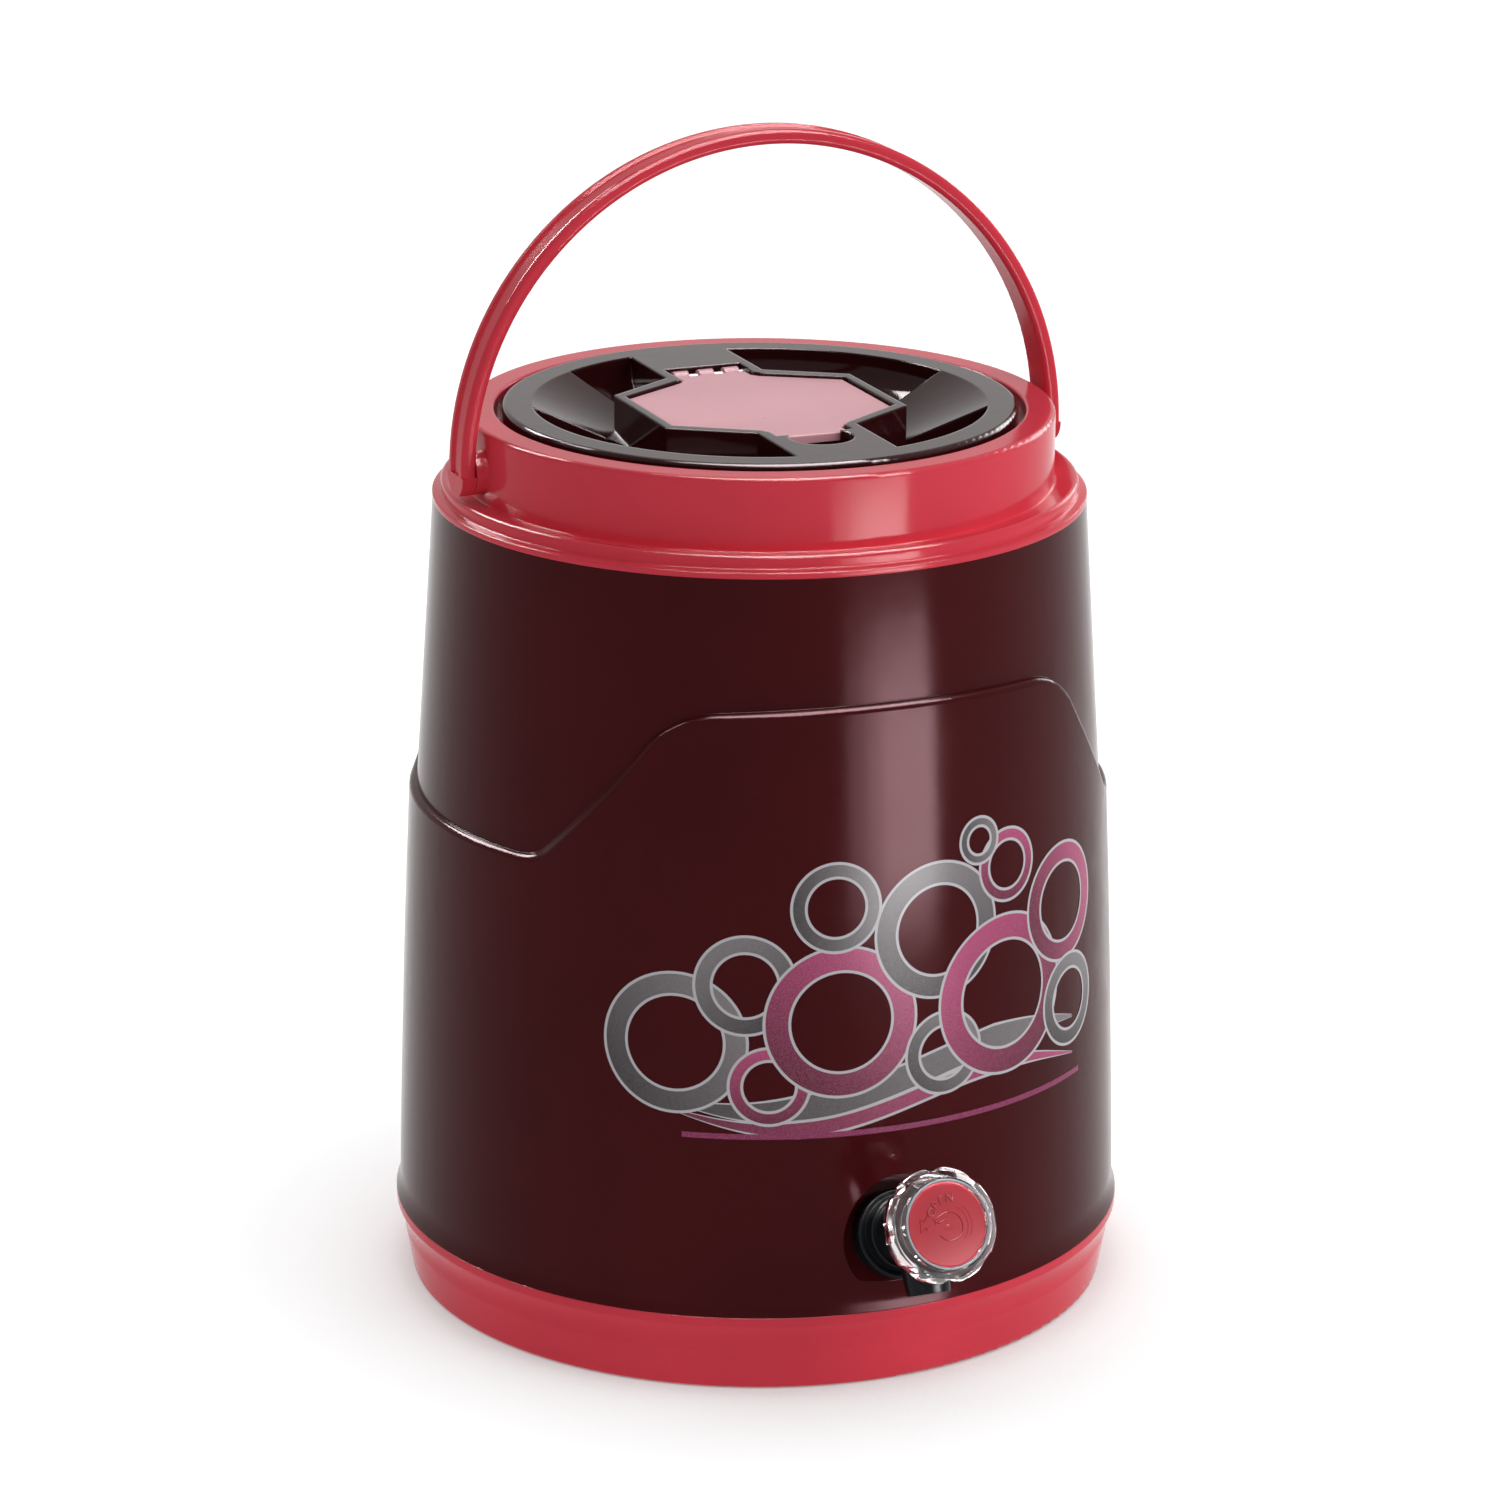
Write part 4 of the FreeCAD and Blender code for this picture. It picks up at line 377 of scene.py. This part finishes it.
def print_rings(n, u, v, under):
    """Overlapping rings, each with a fading colour and a pale outline."""
    for x, z, outer, width, dark, light, lean in RINGS:
        du, dv = n.math("ADD", u, -float(x)), n.math("ADD", v, -float(z))
        squares = n.math("ADD", n.math("MULTIPLY", du, du), n.math("MULTIPLY", dv, dv))
        off = n.math("ADD", n.math("SQRT", squares), width / 2 - outer)
        turn = math.radians(lean)
        slope = n.math("ADD", n.math("MULTIPLY", du, math.cos(turn)), n.math("MULTIPLY", dv, math.sin(turn)))
        fade = outer * RING_FADE
        paint = n.mix(n.span(slope, -fade, fade, 0.0, 1.0), dark, light)
        for reach, layer in ((width / 2 + OUTLINE_HALF, OUTLINE), (width / 2 - OUTLINE_HALF, paint)):
            under = laid(n, under, inside(n, off, reach), layer)
    return under


def print_underline(n, u, v, under):
    """Thin straight line below the waves."""
    line = inside(n, n.math("ADD", v, -UNDERLINE_LEVEL), UNDERLINE_HALF)
    ends = inside(n, n.math("ADD", u, -UNDERLINE_MIDDLE), UNDERLINE_HALF_LENGTH, UNDERLINE_END_BLUR)
    return laid(n, under, n.math("MULTIPLY", line, ends), UNDERLINE_PINK)


def film_material():
    """Print of overlapping rings over two waves, clear where nothing is printed."""
    made, n, shader, place = new_material("printed_film")
    split = n.add("ShaderNodeSeparateXYZ")
    n.put(split.inputs[0], n.add("ShaderNodeUVMap", uv_map="print").outputs[0])
    # Place across and up, in millimetres
    u = n.math("MULTIPLY_ADD", split.outputs[0], FILM_RIGHT - FILM_LEFT, FILM_LEFT)
    v = n.math("MULTIPLY_ADD", split.outputs[1], FILM_HIGH - FILM_LOW, FILM_LOW)
    under = (UNPRINTED, 0.0)
    for layer in (print_waves, print_rings, print_underline):
        under = layer(n, u, v, under)
    color, cover = under
    speckle = n.noise(place, SPECKLE_SCALE, detail=1.0)
    flecks = n.span(speckle, *SPECKLE_SHOWN, 0.0, SPECKLE_MOST)
    n.put(shader.inputs["Base Color"], n.mix(flecks, color, SPECKLE_GREY))
    n.put(shader.inputs["Alpha"], cover)
    n.put(shader.inputs["Roughness"], n.span(speckle, *NOISE_MIDDLE, *FILM_ROUGH))
    shader.inputs["Specular IOR Level"].default_value = FILM_GLOSS
    return made


add_piece("body_graphic", make_film(), film_material(), "jug")

# Raised marks on the tap's cap, in millimetres in the tap's own frame, whose Z runs out of the wall
QUARTER_TURN = math.radians(90.0)
TAP_SEAT, TAP_TILT = (0, -134.0, 57.3), math.radians(25.0)
TAP = Matrix.Translation(Vector(TAP_SEAT) * MM) @ Matrix.Rotation(QUARTER_TURN - TAP_TILT, 4, "X")
CAP_EDGE, CAP_RISE, CAP_TOP = 15.0, 0.6, 55.4
# Depth to which a mark goes into the dome, and the share of its width that it keeps at its ends
MARK_SINK, MARK_END = 0.05, 0.4

# Letters: place of each in degrees and millimetres round the cap's middle
LETTERS = (("O", 137.0, 6.2), ("P", 116.0, 6.9), ("E", 96.0, 7.6), ("N", 75.0, 8.4))
LETTER_SIZE, LETTER_RISE, LETTER_EDGE, LETTER_LEAN = 4.3, 0.3, 0.05, math.radians(6)

# Curl in the middle, the hook at its start, and two fading arcs to its right
CURL_MIDDLE, CURL_RADIUS, CURL_SHRINK = (0.6, -1.0), 5.6, 0.12
CURL_START, CURL_END, CURL_POINTS = 165, -150, 34
CURL_HALF, CURL_RISE = 0.32, 0.30
HOOK = [(-5.6, 2.9), (-4.6, 1.6), (-3.2, 0.9), (-1.6, 1.6), (0.2, 2.4)]
ECHO_MIDDLE, ECHO_POINTS, ECHO_HALF, ECHO_RISE = (0.6, -0.6), 18, 0.22, 0.14
# Radius, start and end of each fading arc
ECHOES = ((7.4, 60, -50), (9.0, 48, -30))

ARROW = [(-6.4, 0.2), (-8.2, -1.2), (-8.4, 0.0), (-11.0, -1.6), (-10.4, 3.2), (-9.0, 2.2), (-7.2, 4.6)]
ARROW_HALF, ARROW_RISE = 0.3, 0.3

# Lip round the cap: radius, half width, heights of its foot and crest, drop of its shoulders
LIP_RADIUS, LIP_HALF, LIP_LOW, LIP_HIGH, LIP_DROP = 16.25, 0.4, 56.2, 56.8, 0.15
LIP_SIDES = 96


def cap_height(x, y):
    """Distance of the cap's dome from the tap's seat."""
    return CAP_TOP + CAP_RISE * (1 - (x * x + y * y) / CAP_EDGE ** 2)


def flanks(points, half):
    """Both sides of a line of a given half width through points, narrowed at its ends."""
    left, right = [], []
    last = len(points) - 1
    for i, point in enumerate(points):
        before, after = Vector(points[max(i - 1, 0)]), Vector(points[min(i + 1, last)])
        run = (after - before).normalized()
        side = Vector((-run.y, run.x)) * half * (1.0 if 0 < i < last else MARK_END)
        left.append(Vector(point) + side)
        right.append(Vector(point) - side)
    return left, right


def arc(centre, radius, start, end, count, shrink=0.0):
    """Points along an arc, whose radius may shrink on the way."""
    points = []
    for i in range(count):
        share = i / (count - 1)
        turn = math.radians(start + (end - start) * share)
        reach = radius * (1 - shrink * share)
        points.append((centre[0] + reach * math.cos(turn), centre[1] + reach * math.sin(turn)))
    return points


def ridge(name, points, half, height):
    """Raised line on the cap, made of short straight lengths that follow the dome."""
    form = bmesh.new()
    count = len(points)
    crests = [form.verts.new(Vector((x, y, cap_height(x, y) + height)) * MM) for x, y in points]
    sides = []
    for line in flanks(points, half):
        sides.append([form.verts.new(Vector((x, y, cap_height(x, y) - MARK_SINK)) * MM) for x, y in line])
    for side in sides:
        for i in range(count - 1):
            form.faces.new((crests[i], crests[i + 1], side[i + 1], side[i]))
    for i in range(count - 1):
        form.faces.new((sides[0][i], sides[0][i + 1], sides[1][i + 1], sides[1][i]))
    for i in (0, count - 1):
        form.faces.new((crests[i], sides[0][i], sides[1][i]))
    bmesh.ops.recalc_face_normals(form, faces=form.faces)
    form.transform(TAP)
    return mesh_of(name, form)


def joined(name, meshes):
    """One mesh of several."""
    form = bmesh.new()
    for mesh in meshes:
        form.from_mesh(mesh)
    return mesh_of(name, form)


def letters():
    """The word OPEN on an arc over the cap, each letter raised from the dome."""
    meshes = []
    for letter, turn, reach in LETTERS:
        data = bpy.data.curves.new("letter", "FONT")
        data.body = letter
        data.align_x = "CENTER"
        data.size = LETTER_SIZE
        data.extrude = LETTER_RISE
        data.bevel_depth = LETTER_EDGE
        holder = placed("letter", data)
        bpy.context.view_layer.update()
        solid = holder.evaluated_get(bpy.context.evaluated_depsgraph_get())
        mesh = bpy.data.meshes.new_from_object(solid)
        bpy.data.objects.remove(holder)
        angle = math.radians(turn)
        place = Vector((reach * math.cos(angle), reach * math.sin(angle), 0))
        place.z = cap_height(place.x, place.y)
        lean = angle - QUARTER_TURN + LETTER_LEAN
        move = Matrix.Scale(MM, 4) @ Matrix.Translation(place) @ Matrix.Rotation(lean, 4, "Z")
        mesh.transform(TAP @ move)
        meshes.append(mesh)
    return joined("cap_letters", meshes)


def swirl():
    """Curl in the middle of the cap with fading arcs to its right."""
    curl = arc(CURL_MIDDLE, CURL_RADIUS, CURL_START, CURL_END, CURL_POINTS, CURL_SHRINK)
    lines = [ridge("curl", curl, CURL_HALF, CURL_RISE), ridge("hook", HOOK, CURL_HALF, CURL_RISE)]
    for radius, start, end in ECHOES:
        echo = arc(ECHO_MIDDLE, radius, start, end, ECHO_POINTS)
        lines.append(ridge("echo", echo, ECHO_HALF, ECHO_RISE))
    return joined("cap_swirl", lines)


def knob_lip():
    """Lip round the cap, in the front ring of the knob; its pale grey is partly a painted highlight of the
    clear rim.
    """
    form = bmesh.new()
    inner, outer, shoulder = LIP_RADIUS - LIP_HALF, LIP_RADIUS + LIP_HALF, LIP_HIGH - LIP_DROP
    crest = (LIP_RADIUS, LIP_HIGH)
    profile = ((inner, LIP_LOW), (inner, shoulder), crest, (outer, shoulder), (outer, LIP_LOW))
    rings = []
    for i in range(LIP_SIDES):
        turn = 2 * math.pi * i / LIP_SIDES
        places = [Vector((r * math.cos(turn), r * math.sin(turn), z)) * MM for r, z in profile]
        rings.append([form.verts.new(place) for place in places])
    for i in range(LIP_SIDES):
        one, other = rings[i], rings[(i + 1) % LIP_SIDES]
        for k in range(len(profile)):
            m = (k + 1) % len(profile)
            form.faces.new((one[k], other[k], other[m], one[m])).smooth = True
    bmesh.ops.recalc_face_normals(form, faces=form.faces)
    form.transform(TAP)
    return mesh_of("knob_lip", form)


# The marks' darker red is painted shade: it stands in for the shading along the raised letters, curl and
# arrow.
mark_painted_shade_material = moulded("cap_mark_painted_shade_plastic", MARK_PAINTED_SHADE_RED, rough=0.25, spec=0.15, edge=0.1)
add_piece("cap_letters", letters(), mark_painted_shade_material, "knob")
add_piece("cap_swirl", swirl(), mark_painted_shade_material, "knob")
add_piece("cap_arrow", ridge("cap_arrow", ARROW, ARROW_HALF, ARROW_RISE), mark_painted_shade_material, "knob")

# The lip's pale bluish grey stands in partly for the bright rim of the clear knob: a painted highlight on a
# real lip.
lip_painted_sheen_material = moulded("knob_lip_painted_sheen_plastic", LIP_GREY_AND_PAINTED_SHEEN, rough=0.12, spec=0.05)
add_piece("knob_lip", knob_lip(), lip_painted_sheen_material, "knob")


def facing(place, aim):
    """Place and turn of a camera or lamp that looks from a place at a point."""
    return Matrix.Translation(place) @ (aim - place).to_track_quat("-Z", "Y").to_matrix().to_4x4()


# Camera at the photograph's viewing angle
CAMERA_PLACE, CAMERA_AIM = Vector((-0.7584, -1.8410, 0.8364)), Vector((-0.0029, 0.0012, 0.2087))
CAMERA_LENS, CAMERA_SENSOR, CAMERA_ROLL = 128.76, 36.0, 0.0049
CAMERA_NEAR, CAMERA_FAR = 0.05, 50.0

camera_data = bpy.data.cameras.new("camera")
camera_data.lens = CAMERA_LENS
camera_data.sensor_width = CAMERA_SENSOR
camera_data.clip_start = CAMERA_NEAR
camera_data.clip_end = CAMERA_FAR
camera = placed("camera", camera_data)
camera.rotation_mode = "QUATERNION"
camera.matrix_world = facing(CAMERA_PLACE, CAMERA_AIM) @ Matrix.Rotation(CAMERA_ROLL, 4, "Z")
scene.camera = camera


def seen_rays(n):
    """1 for a ray that should see the background as white."""
    path = n.add("ShaderNodeLightPath")
    seen = n.math("MAXIMUM", path.outputs["Is Camera Ray"], path.outputs["Is Glossy Ray"])
    return n.math("MAXIMUM", seen, path.outputs["Is Transmission Ray"])


FLOOR_HALF, FLOOR_TILES, FLOOR_DROP = 9.0, 8, 0.0003
PAPER_SCALE = 30.0
PAPER_DARK, PAPER_LIGHT = (0.40, 0.40, 0.40, 1), (0.42, 0.42, 0.42, 1)
# Painted soft shadow: its reach in metres, and the side of the sky that ambient occlusion looks towards,
# mostly behind the part
PAINTED_SHADOW_REACH, PAINTED_SHADOW_SKY, PAINTED_SHADOW_SAMPLES = 0.20, (0.06, 0.67, 0.75), 8
# Floor's own white, dimmed as a painted shadow, from the least open place to the most open one, and what it
# sheds on the part
SKY_LEAST, SKY_MOST, WHITE_LEAST, WHITE_MOST = 0.15, 0.95, 0.16, 0.85
FLOOR_LIGHT = 0.62


def floor_paper():
    """Grey paper with some white of its own, so that it meets the white world and lights the base; that
    white is dimmed near the part as a painted soft shadow.
    """
    made = bpy.data.materials.new("floor_paper")
    made.use_nodes = True
    n = Nodes(made.node_tree)
    paper = n.add("ShaderNodeBsdfDiffuse")
    place = n.add("ShaderNodeTexCoord").outputs["Object"]
    n.put(paper.inputs["Color"], n.mix(n.noise(place, PAPER_SCALE), PAPER_DARK, PAPER_LIGHT))
    # Painted soft shadow: the floor's own white falls off where ambient occlusion finds the part close by
    painted_shadow_sky = n.add("ShaderNodeAmbientOcclusion", samples=PAINTED_SHADOW_SAMPLES)
    painted_shadow_sky.inputs["Distance"].default_value = PAINTED_SHADOW_REACH
    painted_shadow_sky.inputs["Normal"].default_value = PAINTED_SHADOW_SKY
    painted_shadow_white = n.span(painted_shadow_sky.outputs["AO"], SKY_LEAST, SKY_MOST, WHITE_LEAST, WHITE_MOST)
    seen = seen_rays(n)
    shed = n.math("MULTIPLY", n.math("SUBTRACT", 1.0, seen), FLOOR_LIGHT)
    glow = n.add("ShaderNodeEmission")
    n.put(glow.inputs["Strength"], n.math("MULTIPLY_ADD", seen, painted_shadow_white, shed))
    both = n.add("ShaderNodeAddShader")
    n.put(both.inputs[0], paper.outputs[0])
    n.put(both.inputs[1], glow.outputs[0])
    n.put(n.add("ShaderNodeOutputMaterial").inputs["Surface"], both.outputs[0])
    return made


floor_form = bmesh.new()
bmesh.ops.create_grid(floor_form, x_segments=FLOOR_TILES, y_segments=FLOOR_TILES, size=FLOOR_HALF)
floor = placed("floor", mesh_of("floor", floor_form))
floor.location.z = -FLOOR_DROP
floor.data.materials.append(floor_paper())

# World: soft grey light, white where it is seen or mirrored
WORLD_LIGHT, WORLD_SEEN = 0.5, 1.0

world = bpy.data.worlds.new("studio")
scene.world = world
world.use_nodes = True
studio = Nodes(world.node_tree)
sky = studio.add("ShaderNodeBackground")
sky.inputs["Color"].default_value = (1, 1, 1, 1)
studio.put(sky.inputs["Strength"], studio.span(seen_rays(studio), 0.0, 1.0, WORLD_LIGHT, WORLD_SEEN))
studio.put(studio.add("ShaderNodeOutputWorld").inputs["Surface"], sky.outputs[0])


BODY_MIDDLE = (0, 0, 0.2)


def area_light(name, azimuth, elevation, distance, size, power, aim=BODY_MIDDLE):
    """Rectangular light at angles in degrees from the object's front and the ground, aimed at a point."""
    data = bpy.data.lights.new(name, "AREA")
    data.shape = "RECTANGLE"
    data.size, data.size_y = size
    data.energy = power
    light = placed(name, data)
    a, e = math.radians(azimuth), math.radians(elevation)
    aim = Vector(aim)
    way = Vector((math.sin(a) * math.cos(e), -math.cos(a) * math.cos(e), math.sin(e)))
    light.matrix_world = facing(aim + way * distance, aim)
    light.visible_camera = False
    return light


area_light("overhead", azimuth=165, elevation=62, distance=2.2, size=(1.2, 1.2), power=14.0)
right_key = area_light("right_key", azimuth=50, elevation=32, distance=1.9, size=(1.6, 1.6), power=20.0)
right_key.visible_glossy = False

# Panels that only gloss shows: bright lines on the edges of the lid, the collar and the handle.
# Name, azimuth, elevation, side in metres, power
PANELS = (("top_panel", 20, 72, 1.4, 440.0), ("left_panel", -145, 38, 0.6, 70.0),
          ("rear_right_panel", 120, 14, 0.5, 5.0))
PANEL_DISTANCE, PANEL_AIM = 1.3, (0, 0, 0.3)
for name, azimuth, elevation, side, power in PANELS:
    panel = area_light(name, azimuth, elevation, PANEL_DISTANCE, (side, side), power, aim=PANEL_AIM)
    panel.visible_diffuse = False

# Strips that share their right edge, for a highlight that fades to the left. Only gloss shows them.
STRIP_EDGE, STRIP_DISTANCE, STRIP_AIM = 31.0, 0.62, (0, 0, 0.13)
STRIP_WIDTHS, STRIP_HEIGHT, STRIP_GLARE = (0.295, 0.235, 0.185), 0.15, 13.5
for number, width in enumerate(STRIP_WIDTHS, start=1):
    azimuth = STRIP_EDGE - math.degrees(width / 2 / STRIP_DISTANCE)
    power = STRIP_GLARE * math.pi * width * STRIP_HEIGHT
    strip = area_light(f"right_strip_{number}", azimuth, 0, STRIP_DISTANCE, (width, STRIP_HEIGHT), power,
                       aim=STRIP_AIM)
    strip.visible_diffuse = False
